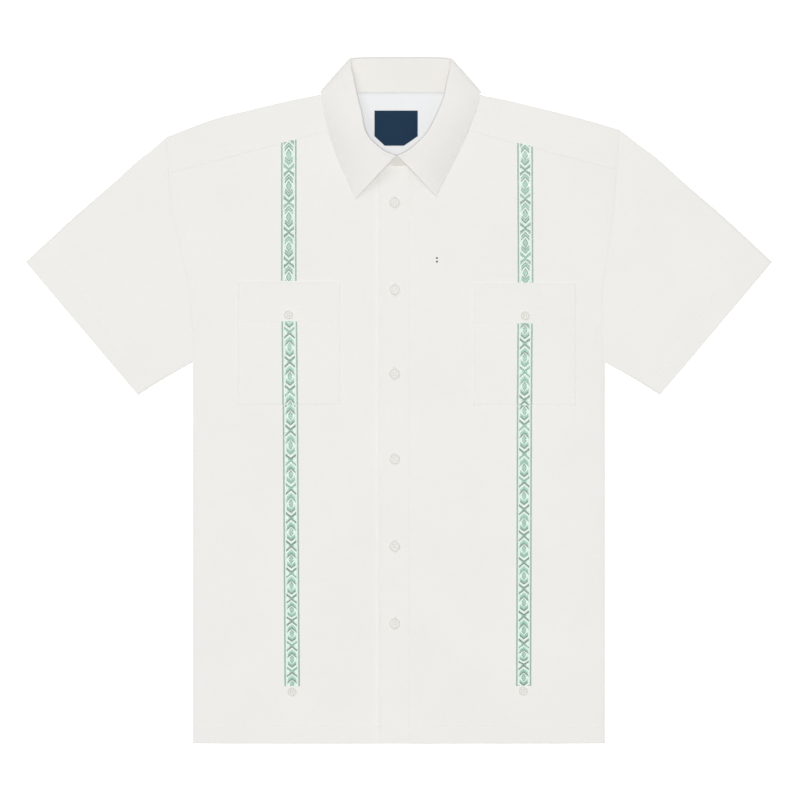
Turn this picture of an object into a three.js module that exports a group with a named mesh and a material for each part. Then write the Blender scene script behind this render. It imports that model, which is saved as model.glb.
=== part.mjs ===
// A short-sleeved guayabera shirt, buttoned and laid flat on its back: +X towards the wearer's left,
// +Y towards the collar, +Z up. The origin is under the middle of the shirt, on the surface it lies on.
// Lengths are in millimetres.
import * as THREE from 'three';

// Cloth
const CLOTH = 1.2; // wall of every cut piece
const SEAM = 0.3; // gap between pieces that are sewn or lie together
const LAYER = CLOTH + SEAM; // from one laid layer's middle to the next
const LOW = CLOTH / 2; // middle of the layer that lies on the surface
const FOLD_INSET = LAYER / 2 + CLOTH / 2; // from a folded edge to where the turn begins
const LEAF_LOW = LOW + 0.07; // the leaf bends here, so it stays a little higher

// Body
const HALF_BODY = 240;
const HEM = -400;
const FRONT_FULLNESS = 3; // how far the fronts stand off the back
const FULLNESS_REACH = 28; // how far from an edge that fullness builds up

// Armhole, from underarm to shoulder, on the wearer's right and left. x counts outwards.
const ARMHOLE = table('rightX rightY leftX leftY', [
  [240, 44, 240, 44],
  [239.5, 72, 237.2, 72],
  [242.6, 100, 236.8, 100],
  [244.5, 130, 238, 130],
  [250.8, 160, 241.5, 160],
  [257, 190, 246.3, 190],
  [262.7, 214, 249.3, 214],
  [266, 238, 251.8, 238],
  [268.6, 264, 253.9, 268],
  [270, 285, 255.4, 291],
  [271.4, 306, 256.5, 315],
]);
const BACK_YOKE_NODE = 7; // the row where each yoke seam meets it
const FRONT_YOKE_NODE = 8;

// Shoulder fold, from the armhole to the side of the neck: out, up. The armhole's last row comes first.
const SHOULDER = [[217.9, 326.2], [172.4, 337.9], [123.5, 349.5], [82, 357.5]];
const SHOULDER_SLOPE = 0.243;
// Front neckline, from the side of the neck to the centre: out, up.
const NECKLINE = [
  [82, 357.5], [81.3, 345], [79.5, 330], [75.5, 315], [64, 297], [46, 282], [24, 273], [0, 270],
];
const NECKLINE_YOKE_NODE = 3;
const HALF_NECK = 82;
const BACK_NECK = 357.6;

// Sleeve: out, up.
const SLEEVE_TOP = [[287.8, 291], [303, 279.6], [328.5, 256.3], [382, 209.7], [434.5, 160.8]];
const SLEEVE_UNDER = [[276, 23.3], [304, 5.8]];
const SLEEVE_FULLNESS = 3.5;

// Button placket and the overlap under it
const PLACKET_EDGE = -24.5;
const PLACKET_SEAM = 14.2;
const PLACKET_WALL = 1.8;
const UNDERLAP_EDGE = 12.5;
const OVERLAP_FADE = 70; // where the upper front is back at the lower front's height

// Collar stand and leaf, mirrored, from the centre front to the centre back: the stand's seam, the fold
// at its top, the leaf's edge, the way from the stand to the leaf, the fold's radius and the leaf's belly.
const COLLAR = table('seamX seamY foldX foldY foldZ edgeX edgeY wayX wayY wayZ radius belly', [
  [14, 272.8, 0.8, 283, 25, 46.6, 236.5, 0, 0, 1, 2, 2],
  [32, 277, 12, 288, 25, 54, 252, 0, 0, 1, 2, 2],
  [49, 286.2, 24, 298, 23.5, 65, 274, 0, 0, 1, 2, 2],
  [62, 297.4, 35, 311, 21.5, 76, 300, 0, 0, 1, 2, 2],
  [72, 311.5, 43, 328, 18.5, 84, 322, 0.1, 0, 1, 2, 2],
  [77.6, 328, 50.7, 349.5, 15, 89.5, 342, 0.2, 0, 1, 2, 2],
  [79.8, 344, 55, 371, 11, 92.3, 355, 0.35, 0.2, 0.9, 2, 1.5],
  [80, 354, 58.3, 389, 7, 93.4, 358.6, 0.75, 0.5, 0.3, 2, 0.8],
  [77, 358.4, 57.3, 396, 3.8, 90, 360.4, 0.5, 0.4, -0.6, 1.5, 0],
  [66, 358.4, 49, 398, 2.4, 78, 353, 0, 0, -1, 0.9, 0],
  [30, 358.4, 27, 398.5, 2.1, 32, 348.5, 0, 0, -1, 0.75, 0],
  [0, 358.4, 0, 398.5, 2.1, 0, 348, 0, 0, -1, 0.75, 0],
]);
const COLLAR_SKEW = [[275, -3.5], [350, 2]]; // up, how far the collar sits to the wearer's left
// The stand's buttoned ends, over and under each other. topX is the top's share of the seam's x.
const STAND_ENDS = { over: -22, under: 11, seam: 272.6, topX: 0.75, topY: 281, topZ: 21, apart: 1.7 };
const TOP_SEAM = 1.1; // between the stand and the leaf, which twist where the collar turns
const COLLAR_CLEAR = 1.1; // how far the leaf stays off the cloth it falls on
const LEAF_TURN = 2.4; // height of the leaf's edge where it passes round the shoulder

// The nape: the collar leaf lies under the yoke here, which rises over it.
const NAPE = { from: 318, to: 338, half: 96, fade: 130 };

// Pockets
const POCKETS = table('name left right low high', [
  ['pocket_right', -188, -68, -6, 137],
  ['pocket_left', 86, 206, -6, 135.5],
]);

// Embroidered bands down the fronts. Slant lifts the top's wearer's-left corner, layers is the cloth below.
const BAND = 19.8;
const BAND_WALL = 1;
const BANDS = table('name topX footX high low slant layers', [
  ['band_upper_right', -127.6, -127.6, 301.5, 138.6, 2.4, 0],
  ['band_pocket_right', -127.6, -126.6, 92, -5.4, 0, 1],
  ['band_lower_right', -126.6, -124.6, -6.8, -333, 0, 0],
  ['band_upper_left', 146.2, 146.2, 297.5, 136.6, -2.4, 0],
  ['band_pocket_left', 146.2, 146, 91, -5.4, 0, 1],
  ['band_lower_left', 146, 145, -6.8, -333, 0, 0],
]);

// Neck label, its two lower corners cut off
const LABEL = { left: -28.5, right: 21.8, low: 296.2, high: 337, cutLeft: 11, cutRight: 15, cutHeight: 10 };
const LABEL_WALL = 1;

// Buttons
const BUTTON = { height: 2.4, rim: 0.6, dish: 0.66 }; // dish as a share of the radius
const PLACKET_BUTTONS = { radius: 6, x: -5, heights: [229.5, 128.2, 30.3, -68.7, -170.1, -259.8] };
const TRIM_RADIUS = 5;
// On the pocket mouths and below the bands
const TRIM_BUTTONS = table('name x y layers', [
  ['pocket_button_right', -128.7, 99, 1],
  ['pocket_button_left', 146.8, 98, 1],
  ['hem_button_right', -124.7, -339.6, 0],
  ['hem_button_left', 144.5, -338.8, 0],
]);

// How many cells each stretch is cut into
const CELLS = { backWidth: 12, sideSeam: 8, yokeSeam: 9, neckline: 6, shoulder: 8, backNeck: 8, sleeve: 9 };
const PLACKET_CELLS = { across: 3, along: 20 };
const COLLAR_CELLS = { stand: 3, turn: 4, fall: 6, perRow: 2 };
const POCKET_CELLS = { across: 6, along: 7 };
const LABEL_CELLS = 4;
const BAND_CELL = 20;
const FOLD_CELLS = 4;
const BUTTON_CELLS = 14;
const SHORTEST_CELL = 4;

const cloth = new THREE.MeshStandardMaterial({ color: 0xeeeee9, roughness: 0.9, metalness: 0 });
const embroidery = new THREE.MeshStandardMaterial({ color: 0xa8d8c4, roughness: 0.7, metalness: 0 });
const labelWeave = new THREE.MeshStandardMaterial({ color: 0x14284b, roughness: 0.7, metalness: 0 });
const buttonPlastic = new THREE.MeshStandardMaterial({ color: 0xf2f2ee, roughness: 0.3, metalness: 0 });

const shirt = new THREE.Group();

// Rows of a table as objects, with a field for each column named in its heading.
function table(heading, rows) {
  const columns = heading.split(' ');
  return rows.map((row) => Object.fromEntries(row.map((value, k) => [columns[k], value])));
}

function addMesh(name, geometry, material) {
  const mesh = new THREE.Mesh(geometry, material);
  mesh.name = name;
  shirt.add(mesh);
  return mesh;
}

const lerp = THREE.MathUtils.lerp;
const smooth = THREE.MathUtils.smoothstep;
const point = (x, y) => new THREE.Vector2(x, y);
const onSide = (side, rows) => rows.map(([out, up]) => point(side * out, up));

// A list of [key, value] pairs read between them.
function readTable(rows, key) {
  const last = rows.length - 1;
  const next = rows.findIndex(([k]) => k >= key);
  if (next === 0) return rows[0][1];
  if (next < 0) return rows[last][1];
  const [k0, v0] = rows[next - 1];
  const [k1, v1] = rows[next];
  return lerp(v0, v1, (key - k0) / (k1 - k0));
}

function armhole(side) {
  return ARMHOLE.map((row) => (side < 0 ? point(-row.rightX, row.rightY) : point(row.leftX, row.leftY)));
}

function bodyEdge(side, y) {
  const rows = armhole(side).map((p) => [p.y, Math.abs(p.x)]);
  return readTable(rows, y);
}

function shoulderFold(side) {
  return [armhole(side).at(-1), ...onSide(side, SHOULDER)];
}

// Height of the middle of the lower layer, the back and the back of the yoke.
function lowHeight(x, y) {
  const across = 1 - smooth(Math.abs(x), NAPE.half, NAPE.fade);
  return LOW + LAYER * across * smooth(y, NAPE.from, NAPE.to);
}

// Height of the middle of the fronts: one layer up at every edge, fuller away from them.
function frontHeight(x, y) {
  const side = Math.sign(x) || 1;
  const fold = shoulderFold(side).map((p) => [Math.abs(p.x), p.y]).reverse();
  const fromSide = Math.max(bodyEdge(side, y) - Math.abs(x), 0);
  const belowFold = Math.max(readTable(fold, Math.abs(x)) - y, 0);
  const fromFold = Math.abs(x) < HALF_NECK ? 2 * FULLNESS_REACH : belowFold;
  const fullness = (1 - Math.exp(-fromSide / FULLNESS_REACH)) * (1 - Math.exp(-fromFold / FULLNESS_REACH));
  return lowHeight(x, y) + LAYER + FRONT_FULLNESS * fullness;
}

// The wearer's left front lies over the right one at the centre and comes down beside it.
function leftFrontHeight(x, y) {
  return frontHeight(x, y) + LAYER * (1 - smooth(x, PLACKET_SEAM, OVERLAP_FADE));
}

// The top layer of the fronts at any place.
function topHeight(x, y) {
  return x > PLACKET_EDGE ? leftFrontHeight(x, y) : frontHeight(x, y);
}

// A closed wall about a middle surface: points joined by four-cornered cells, all turned the same way.
function wallGeometry(points, cells, thickness) {
  const normals = new Map();
  const edges = new Set();
  for (const cell of cells) {
    const [a, b, c, d] = cell.map((id) => points[id]);
    const normal = new THREE.Vector3().subVectors(c, a).cross(new THREE.Vector3().subVectors(d, b));
    for (const id of cell) {
      if (!normals.has(id)) normals.set(id, new THREE.Vector3());
      normals.get(id).add(normal);
    }
    cell.forEach((id, k) => edges.add(`${id},${cell[(k + 1) % 4]}`));
  }
  const positions = [];
  const place = new Map();
  for (const [id, normal] of normals) {
    normal.setLength(thickness / 2);
    place.set(id, positions.length / 3);
    positions.push(...new THREE.Vector3().addVectors(points[id], normal).toArray());
    positions.push(...new THREE.Vector3().subVectors(points[id], normal).toArray());
  }
  const index = [];
  for (const cell of cells) {
    const [a, b, c, d] = cell.map((id) => place.get(id));
    index.push(a, b, c, a, c, d);
    index.push(a + 1, c + 1, b + 1, a + 1, d + 1, c + 1);
  }
  for (const edge of edges) {
    const [from, to] = edge.split(',').map(Number);
    if (edges.has(`${to},${from}`)) continue;
    const [a, b] = [place.get(from), place.get(to)];
    index.push(b, a, a + 1, b, a + 1, b + 1);
  }
  const geometry = new THREE.BufferGeometry();
  geometry.setAttribute('position', new THREE.Float32BufferAttribute(positions, 3));
  geometry.setIndex(index);
  geometry.computeVertexNormals();
  return geometry;
}

// Cells of a grid whose points run along columns first, closed round its columns where it is a ring.
function gridCells(columns, rows, ring = false) {
  const cells = [];
  const across = ring ? columns : columns - 1;
  for (let row = 0; row < rows - 1; row++) {
    for (let column = 0; column < across; column++) {
      const next = (column + 1) % columns;
      const low = row * columns;
      cells.push([low + column, low + next, low + columns + next, low + columns + column]);
    }
  }
  return cells;
}

// Plan points of a panel between its four edges. low and high run left to right, left and right upwards.
function panelPlan(low, high, left, right) {
  const columns = low.length;
  const rows = left.length;
  const rise = (j) => (left[j].y - left[0].y) / (left[rows - 1].y - left[0].y);
  const plan = [];
  for (let j = 0; j < rows; j++) {
    const v = rise(j);
    for (let i = 0; i < columns; i++) {
      const u = i / (columns - 1);
      const p = point(0, 0);
      p.addScaledVector(low[i], 1 - v).addScaledVector(high[i], v);
      p.addScaledVector(left[j], 1 - u).addScaledVector(right[j], u);
      p.addScaledVector(low[0], -(1 - u) * (1 - v)).addScaledVector(low[columns - 1], -u * (1 - v));
      p.addScaledVector(high[0], -(1 - u) * v).addScaledVector(high[columns - 1], -u * v);
      plan.push(p);
    }
  }
  return plan;
}

function laid(plan, heightAt) {
  return plan.map((p) => new THREE.Vector3(p.x, p.y, heightAt(p.x, p.y)));
}

function straight(from, to, cells) {
  return Array.from({ length: cells + 1 }, (_, k) => from.clone().lerp(to, k / cells));
}

function curved(points, cells) {
  return new THREE.SplineCurve(points).getSpacedPoints(cells);
}

// Each stretch of a polyline cut into the same number of pieces.
function refined(points, pieces) {
  const fine = points.slice(0, -1).flatMap((p, k) => straight(p, points[k + 1], pieces).slice(0, -1));
  return [...fine, points.at(-1).clone()];
}

function moved(points, x, y) {
  return points.map((p) => point(p.x + x, p.y + y));
}

// Points of a line at the same shares of its rise as those of another line.
function atSameRise(line, from, to) {
  const share = (p) => (p.y - line[0].y) / (line.at(-1).y - line[0].y);
  return line.map((p) => from.clone().lerp(to, share(p)));
}

// A panel whose outer edge is on the given side, so that its top always faces up.
function panelWall(side, low, high, outer, inner, heightAt) {
  const leftToRight = (line) => (side < 0 ? line : [...line].reverse());
  const [left, right] = side < 0 ? [outer, inner] : [inner, outer];
  const points = laid(panelPlan(leftToRight(low), leftToRight(high), left, right), heightAt);
  return wallGeometry(points, gridCells(low.length, left.length), CLOTH);
}

function sideEdge(side, lastNode) {
  const hole = armhole(side).slice(0, lastNode + 1);
  const seam = straight(point(side * HALF_BODY, HEM), hole[0], CELLS.sideSeam);
  const edge = [...seam.slice(0, -1), ...hole];
  return moved(edge, (-side * SEAM) / 2, 0);
}

function addBack() {
  const left = sideEdge(-1, BACK_YOKE_NODE);
  const right = sideEdge(1, BACK_YOKE_NODE);
  left.at(-1).y -= SEAM / 2;
  right.at(-1).y -= SEAM / 2;
  const low = straight(left[0], right[0], CELLS.backWidth);
  const high = straight(left.at(-1), right.at(-1), CELLS.backWidth);
  const points = laid(panelPlan(low, high, left, right), lowHeight);
  addMesh('back', wallGeometry(points, gridCells(low.length, left.length), CLOTH), cloth);
}

// Front neckline from the yoke seam to the centre line, on one side.
function frontNeckline(side) {
  return onSide(side, NECKLINE.slice(NECKLINE_YOKE_NODE));
}

function yokeSeam(side) {
  return [armhole(side)[FRONT_YOKE_NODE], frontNeckline(side)[0]];
}

function addFront(name, side, centre, heightAt) {
  const outer = sideEdge(side, FRONT_YOKE_NODE);
  outer.at(-1).y -= SEAM / 2;
  const [seamOut, seamIn] = yokeSeam(side);
  const seam = moved(straight(seamOut, seamIn, CELLS.yokeSeam), 0, -SEAM / 2);
  seam[0] = outer.at(-1);
  const beforeEdge = (p) => side * (p.x - centre) > SHORTEST_CELL;
  const neckline = curved(frontNeckline(side), CELLS.neckline).filter(beforeEdge);
  const top = [...seam.slice(0, -1), ...neckline, point(centre, NECKLINE.at(-1)[1])];
  const low = straight(outer[0], point(centre, HEM), top.length - 1);
  const inner = atSameRise(outer, low.at(-1), top.at(-1));
  addMesh(name, panelWall(side, low, top, outer, inner, heightAt), cloth);
}

function addPlacket() {
  const { across, along } = PLACKET_CELLS;
  const neck = NECKLINE.at(-1)[1];
  const left = straight(point(PLACKET_EDGE, HEM), point(PLACKET_EDGE, neck), along);
  const right = straight(point(PLACKET_SEAM - SEAM, HEM), point(PLACKET_SEAM - SEAM, neck), along);
  const low = straight(left[0], right[0], across);
  const high = straight(left.at(-1), right.at(-1), across);
  const rise = (PLACKET_WALL - CLOTH) / 2;
  const points = laid(panelPlan(low, high, left, right), (x, y) => leftFrontHeight(x, y) + rise);
  addMesh('placket', wallGeometry(points, gridCells(low.length, left.length), PLACKET_WALL), cloth);
}

// Half a turn of cloth from the lower layer to the upper one, bulging out from the plan point.
function foldPoints(plan, outward, low, high) {
  const radius = (high - low) / 2;
  return Array.from({ length: FOLD_CELLS - 1 }, (_, k) => {
    const turn = ((k + 1) * Math.PI) / FOLD_CELLS;
    const p = plan.clone().addScaledVector(outward, radius * Math.sin(turn));
    return new THREE.Vector3(p.x, p.y, low + radius * (1 - Math.cos(turn)));
  });
}

// Armhole edge of the yoke, from the row of one of its seams up to the shoulder fold.
function yokeEdge(side, seamNode, end) {
  const line = refined(moved(armhole(side).slice(seamNode), (-side * SEAM) / 2, 0), 2);
  return [...line.slice(0, -1), end];
}

// The turn over one shoulder and the strip in front of it, joined to the points of the fold's back row.
function addShoulder(side, foldIds, points, cells) {
  const fold = foldIds.map((id) => point(points[id].x, points[id].y));
  const [foldOut, foldIn] = side < 0 ? [fold[0], fold.at(-1)] : [fold.at(-1), fold[0]];
  const [seamOut, seamIn] = moved(yokeSeam(side), 0, SEAM / 2);
  seamOut.x -= (side * SEAM) / 2;
  const seam = straight(seamOut, seamIn, CELLS.shoulder);
  const outer = [seamOut, ...yokeEdge(side, FRONT_YOKE_NODE, foldOut).slice(1)];
  const neckLine = onSide(side, NECKLINE.slice(0, NECKLINE_YOKE_NODE + 1)).reverse();
  const neckEdge = curved(neckLine, outer.length - 1);
  const inner = [seamIn, ...neckEdge.slice(1, -1), foldIn];
  const [low, left, right] = side < 0 ? [seam, outer, inner] : [seam.reverse(), inner, outer];
  const strip = laid(panelPlan(low, fold, left, right), frontHeight);
  const turns = fold.map((p) => {
    const outward = p === foldOut ? point(0, 1) : point(side * SHOULDER_SLOPE, 1).normalize();
    return foldPoints(p, outward, lowHeight(p.x, p.y), frontHeight(p.x, p.y));
  });
  const rows = [foldIds];
  for (let k = 0; k < FOLD_CELLS - 1; k++) rows.push(turns.map((turn) => points.push(turn[k]) - 1));
  for (let row = left.length - 1; row >= 0; row--) {
    const start = row * fold.length;
    rows.push(strip.slice(start, start + fold.length).map((p) => points.push(p) - 1));
  }
  for (let row = 0; row < rows.length - 1; row++) {
    const [near, far] = [rows[row], rows[row + 1]];
    for (let k = 0; k < CELLS.shoulder; k++) cells.push([near[k], near[k + 1], far[k + 1], far[k]]);
  }
}

// The yoke: its back part in one piece, folded over each shoulder to the front yoke seam.
function addYoke() {
  const shoulder = (side) => {
    const inset = moved(curved(shoulderFold(side), CELLS.shoulder), 0, -FOLD_INSET);
    inset[0].x -= (side * SEAM) / 2;
    return inset;
  };
  const neck = straight(point(-HALF_NECK, BACK_NECK), point(HALF_NECK, BACK_NECK), CELLS.backNeck);
  const high = [...shoulder(-1), ...neck.slice(1, -1), ...shoulder(1).reverse()];
  const left = yokeEdge(-1, BACK_YOKE_NODE, high[0]);
  const right = yokeEdge(1, BACK_YOKE_NODE, high.at(-1));
  left[0].y += SEAM / 2;
  right[0].y += SEAM / 2;
  const low = straight(left[0], right[0], high.length - 1);
  const points = laid(panelPlan(low, high, left, right), lowHeight);
  const cells = gridCells(high.length, left.length);
  const foldRow = points.map((_, id) => id).slice(-high.length);
  addShoulder(-1, foldRow.slice(0, CELLS.shoulder + 1), points, cells);
  addShoulder(1, foldRow.slice(-CELLS.shoulder - 1), points, cells);
  addMesh('yoke', wallGeometry(points, cells, CLOTH), cloth);
}

// A flattened tube from the armhole to the cuff, folded along its top and at the underarm.
function addSleeve(name, side) {
  const hole = moved(armhole(side), (side * SEAM) / 2, 0);
  const topLine = curved([hole.at(-1), ...onSide(side, SLEEVE_TOP)], CELLS.sleeve);
  const underLine = curved([hole[0], ...onSide(side, SLEEVE_UNDER)], CELLS.sleeve);
  const cuff = straight(underLine.at(-1), topLine.at(-1), hole.length - 1);
  const plan = panelPlan(hole, cuff, underLine, topLine);
  const last = hole.length - 1;
  const points = underLine.flatMap((_, j) => {
    const line = plan.slice(j * hole.length, (j + 1) * hole.length);
    const under = line[0].clone().sub(line[1]).normalize();
    const top = line[last].clone().sub(line[last - 1]).normalize();
    line[0].addScaledVector(under, -FOLD_INSET);
    line[last].addScaledVector(top, -FOLD_INSET);
    const fullness = SLEEVE_FULLNESS * smooth(j / CELLS.sleeve, 0, 0.5);
    const highAt = (i) => LOW + LAYER + fullness * Math.sin((Math.PI * i) / last);
    const lower = line.map((p) => new THREE.Vector3(p.x, p.y, LOW));
    const upper = line.map((p, i) => new THREE.Vector3(p.x, p.y, highAt(i)));
    const overTop = foldPoints(line[last], top, LOW, highAt(last));
    const atUnder = foldPoints(line[0], under, LOW, highAt(0)).reverse();
    return [...lower, ...overTop, ...upper.reverse(), ...atUnder];
  });
  const cells = gridCells(points.length / underLine.length, underLine.length, true);
  const turned = side < 0 ? cells : cells.map((cell) => [...cell].reverse());
  addMesh(name, wallGeometry(points, turned, CLOTH), cloth);
}

// A smooth curve through four values at equal steps, read between the middle two without passing them.
function eased([a, b, c, d], t) {
  const bend = (2 * a - 5 * b + 4 * c - d) * t * t + (3 * b - a - 3 * c + d) * t ** 3;
  return THREE.MathUtils.clamp(b + ((c - a) * t + bend) / 2, Math.min(b, c), Math.max(b, c));
}

// Stations of the collar on one side, from the centre front to the centre back.
function collarSide(side) {
  const { perRow } = COLLAR_CELLS;
  const last = COLLAR.length - 1;
  const skew = (y) => readTable(COLLAR_SKEW, y);
  return Array.from({ length: last * perRow + 1 }, (_, k) => {
    const base = Math.min(Math.floor(k / perRow), last - 1);
    const near = [-1, 0, 1, 2].map((step) => COLLAR[THREE.MathUtils.clamp(base + step, 0, last)]);
    const read = (column) => eased(near.map((row) => row[column]), k / perRow - base);
    const [foldY, edgeY] = [read('foldY'), read('edgeY')];
    return {
      seam: new THREE.Vector3(side * read('seamX'), read('seamY'), 0),
      fold: new THREE.Vector3(side * read('foldX') + skew(foldY), foldY, read('foldZ')),
      edge: new THREE.Vector3(side * read('edgeX') + skew(edgeY), edgeY, 0),
      way: new THREE.Vector3(side * read('wayX'), read('wayY'), read('wayZ')),
      radius: read('radius'),
      belly: read('belly'),
      drop: 0,
    };
  });
}

// The collar's stations right round, from the wearer's right front by the nape to the left front.
function collarRing() {
  return [...collarSide(-1), ...collarSide(1).slice(0, -1).reverse()];
}

// Height of the seam that the stand is sewn to: the fronts up to the neck's side, the yoke behind it.
function seamHeight(p) {
  const behind = smooth(p.y, BACK_NECK - 1, BACK_NECK + 0.8);
  return lerp(topHeight(p.x, p.y), lowHeight(p.x, p.y), behind);
}

// Unit vectors of a station: up the stand, and square to it towards the leaf.
function standFrame(seam, fold, way) {
  const up = new THREE.Vector3().subVectors(fold, seam).normalize();
  const out = way.clone().addScaledVector(up, -way.dot(up)).normalize();
  return [up, out];
}

function addCollarStand() {
  const ring = collarRing();
  const { stand: standCells } = COLLAR_CELLS;
  const { over, under, seam: seamY, topX, topY, topZ, apart } = STAND_ENDS;
  // A buttoned end runs on from the ring's last station, level along the neckline.
  const buttoned = (from, end, drop) =>
    [0.5, 1].map((share) => {
      const seam = new THREE.Vector3(lerp(from.seam.x, end, share), seamY, 0);
      const fold = from.fold.clone().lerp(new THREE.Vector3(end * topX, topY, topZ - drop), share);
      return { ...from, seam, fold, drop };
    });
  const stations = [...buttoned(ring[0], under, apart).reverse(), ...ring, ...buttoned(ring.at(-1), over, 0)];
  const points = stations.flatMap(({ seam, fold, way, drop }) => {
    const low = seam.clone().setZ(seamHeight(seam) - drop);
    const [up] = standFrame(low, fold, way);
    const high = fold.clone().addScaledVector(up, -TOP_SEAM / 2);
    return Array.from({ length: standCells + 1 }, (_, i) => low.clone().lerp(high, i / standCells));
  });
  const cells = gridCells(standCells + 1, stations.length);
  addMesh('collar_stand', wallGeometry(points, cells, CLOTH), cloth);
}

// The leaf: it turns over the stand's top edge and falls on the fronts, or under the yoke at the nape.
function addCollarLeaf() {
  const { turn: turnCells, fall: fallCells } = COLLAR_CELLS;
  const above = (p) => topHeight(p.x, p.y) + CLOTH + COLLAR_CLEAR;
  const stations = collarRing();
  const points = stations.flatMap(({ seam, fold, edge, way, radius, belly }) => {
    const [up, out] = standFrame(seam.clone().setZ(seamHeight(seam)), fold, way);
    const start = fold.clone().addScaledVector(up, TOP_SEAM / 2);
    const turn = Array.from({ length: turnCells + 1 }, (_, k) => {
      const angle = (k * Math.PI) / turnCells;
      const p = start.clone().addScaledVector(up, radius * Math.sin(angle));
      return p.addScaledVector(out, radius * (1 - Math.cos(angle)));
    });
    const edgeHeight = way.z < 0 ? LEAF_LOW : lerp(LEAF_TURN, above(edge), smooth(way.z, 0, 0.9));
    const end = edge.clone().setZ(edgeHeight);
    const fall = Array.from({ length: fallCells }, (_, k) => {
      const t = (k + 1) / fallCells;
      const p = turn.at(-1).clone().lerp(end, t).addScaledVector(out, belly * Math.sin(Math.PI * t));
      const floor = way.z > 0.85 ? above(p) : LEAF_LOW;
      return p.setZ(Math.max(p.z, floor));
    });
    return [...turn, ...fall];
  });
  const cells = gridCells(turnCells + 1 + fallCells, stations.length);
  addMesh('collar_leaf', wallGeometry(points, cells, CLOTH), cloth);
}

// A four-edged patch that lies on the fronts, with further layers of cloth below it.
function patchWall(left, right, across, wall, layers) {
  const low = straight(left[0], right[0], across);
  const high = straight(left.at(-1), right.at(-1), across);
  const lift = CLOTH / 2 + SEAM + wall / 2 + layers * LAYER;
  const points = laid(panelPlan(low, high, left, right), (x, y) => topHeight(x, y) + lift);
  return wallGeometry(points, gridCells(low.length, left.length), wall);
}

function addPocket({ name, left, right, low, high }) {
  const leftLine = straight(point(left, low), point(left, high), POCKET_CELLS.along);
  const rightLine = straight(point(right, low), point(right, high), POCKET_CELLS.along);
  addMesh(name, patchWall(leftLine, rightLine, POCKET_CELLS.across, CLOTH, 0), cloth);
}

function addBand({ name, topX, footX, high, low, slant, layers }) {
  const edge = (side) => {
    const top = point(topX + (side * BAND) / 2, high + side * slant);
    return straight(point(footX + (side * BAND) / 2, low), top, Math.round((high - low) / BAND_CELL));
  };
  addMesh(name, patchWall(edge(-1), edge(1), 1, BAND_WALL, layers), embroidery);
}

function addLabel() {
  const { left, right, low, high, cutLeft, cutRight, cutHeight } = LABEL;
  const leftLine = straight(point(left, low + cutHeight), point(left, high), LABEL_CELLS);
  const rightLine = straight(point(right, low + cutHeight), point(right, high), LABEL_CELLS);
  const lowLine = [leftLine[0], point(left + cutLeft, low), point(right - cutRight, low), rightLine[0]];
  const highLine = lowLine.map((p) => point(p.x, high));
  const lift = CLOTH / 2 + SEAM + LABEL_WALL / 2;
  const points = laid(panelPlan(lowLine, highLine, leftLine, rightLine), (x, y) => lowHeight(x, y) + lift);
  addMesh('label', wallGeometry(points, gridCells(lowLine.length, leftLine.length), LABEL_WALL), labelWeave);
}

// A round button with a raised rim, standing on the cloth below it.
function addButton(name, radius, x, y, clothTop) {
  const { height, rim, dish } = BUTTON;
  const profile = [[0, 0], [radius - rim, 0], [radius, rim], [radius, height - rim], [radius - rim, height]];
  profile.push([dish * radius, height - rim], [0, height - rim]);
  const turned = new THREE.LatheGeometry(profile.map(([r, h]) => point(r, h)), BUTTON_CELLS);
  const mesh = addMesh(name, turned, buttonPlastic);
  mesh.rotation.x = Math.PI / 2;
  mesh.position.set(x, y, clothTop + SEAM);
}

addBack();
addYoke();
addFront('front_right', -1, UNDERLAP_EDGE, frontHeight);
addFront('front_left', 1, PLACKET_SEAM, leftFrontHeight);
addPlacket();
addSleeve('sleeve_right', -1);
addSleeve('sleeve_left', 1);
addCollarStand();
addCollarLeaf();
POCKETS.forEach(addPocket);
BANDS.forEach(addBand);
addLabel();
PLACKET_BUTTONS.heights.forEach((y, k) => {
  const { radius, x } = PLACKET_BUTTONS;
  const clothTop = leftFrontHeight(x, y) + PLACKET_WALL - CLOTH / 2;
  addButton(`placket_button_${k + 1}`, radius, x, y, clothTop);
});
for (const { name, x, y, layers } of TRIM_BUTTONS) {
  addButton(name, TRIM_RADIUS, x, y, topHeight(x, y) + CLOTH / 2 + layers * LAYER);
}

export default shirt;
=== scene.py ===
import bpy
import numpy as np
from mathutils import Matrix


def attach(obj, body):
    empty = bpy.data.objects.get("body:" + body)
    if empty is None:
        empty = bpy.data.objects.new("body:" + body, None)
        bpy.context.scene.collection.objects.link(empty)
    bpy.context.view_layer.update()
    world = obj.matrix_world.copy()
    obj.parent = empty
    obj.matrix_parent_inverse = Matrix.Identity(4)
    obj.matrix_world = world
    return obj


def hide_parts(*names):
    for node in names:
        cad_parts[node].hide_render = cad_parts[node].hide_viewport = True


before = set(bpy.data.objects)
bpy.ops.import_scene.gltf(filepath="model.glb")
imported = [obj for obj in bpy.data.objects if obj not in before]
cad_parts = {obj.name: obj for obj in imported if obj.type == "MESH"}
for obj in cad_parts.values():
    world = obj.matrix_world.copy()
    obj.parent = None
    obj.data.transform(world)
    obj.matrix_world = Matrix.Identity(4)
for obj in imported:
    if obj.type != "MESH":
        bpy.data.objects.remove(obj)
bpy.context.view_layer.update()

mm = 0.001
scene = bpy.context.scene

# Camera, floor and light

view = {"middleX": 1.2, "middleY": 0, "width": 932, "distance": 6000, "sensor": 36, "farthest": 100}
studio = {
    "floorSize": 9000, "floorDrop": 0.3, "floorGlow": 0.32,
    "floorColour": "#F6F6F4", "floorMottle": "#F4F4F2",
    "skyStrength": 0.26, "skyColour": "#FFFFFF",
    # x, y, z, size and power in watts
    "softboxes": {"overhead": (0, 0, 6600, 700, 292), "key": (-3000, 2400, 5200, 3000, 56),
                  "fill": (3600, -1200, 4800, 3600, 20)},
}


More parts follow.
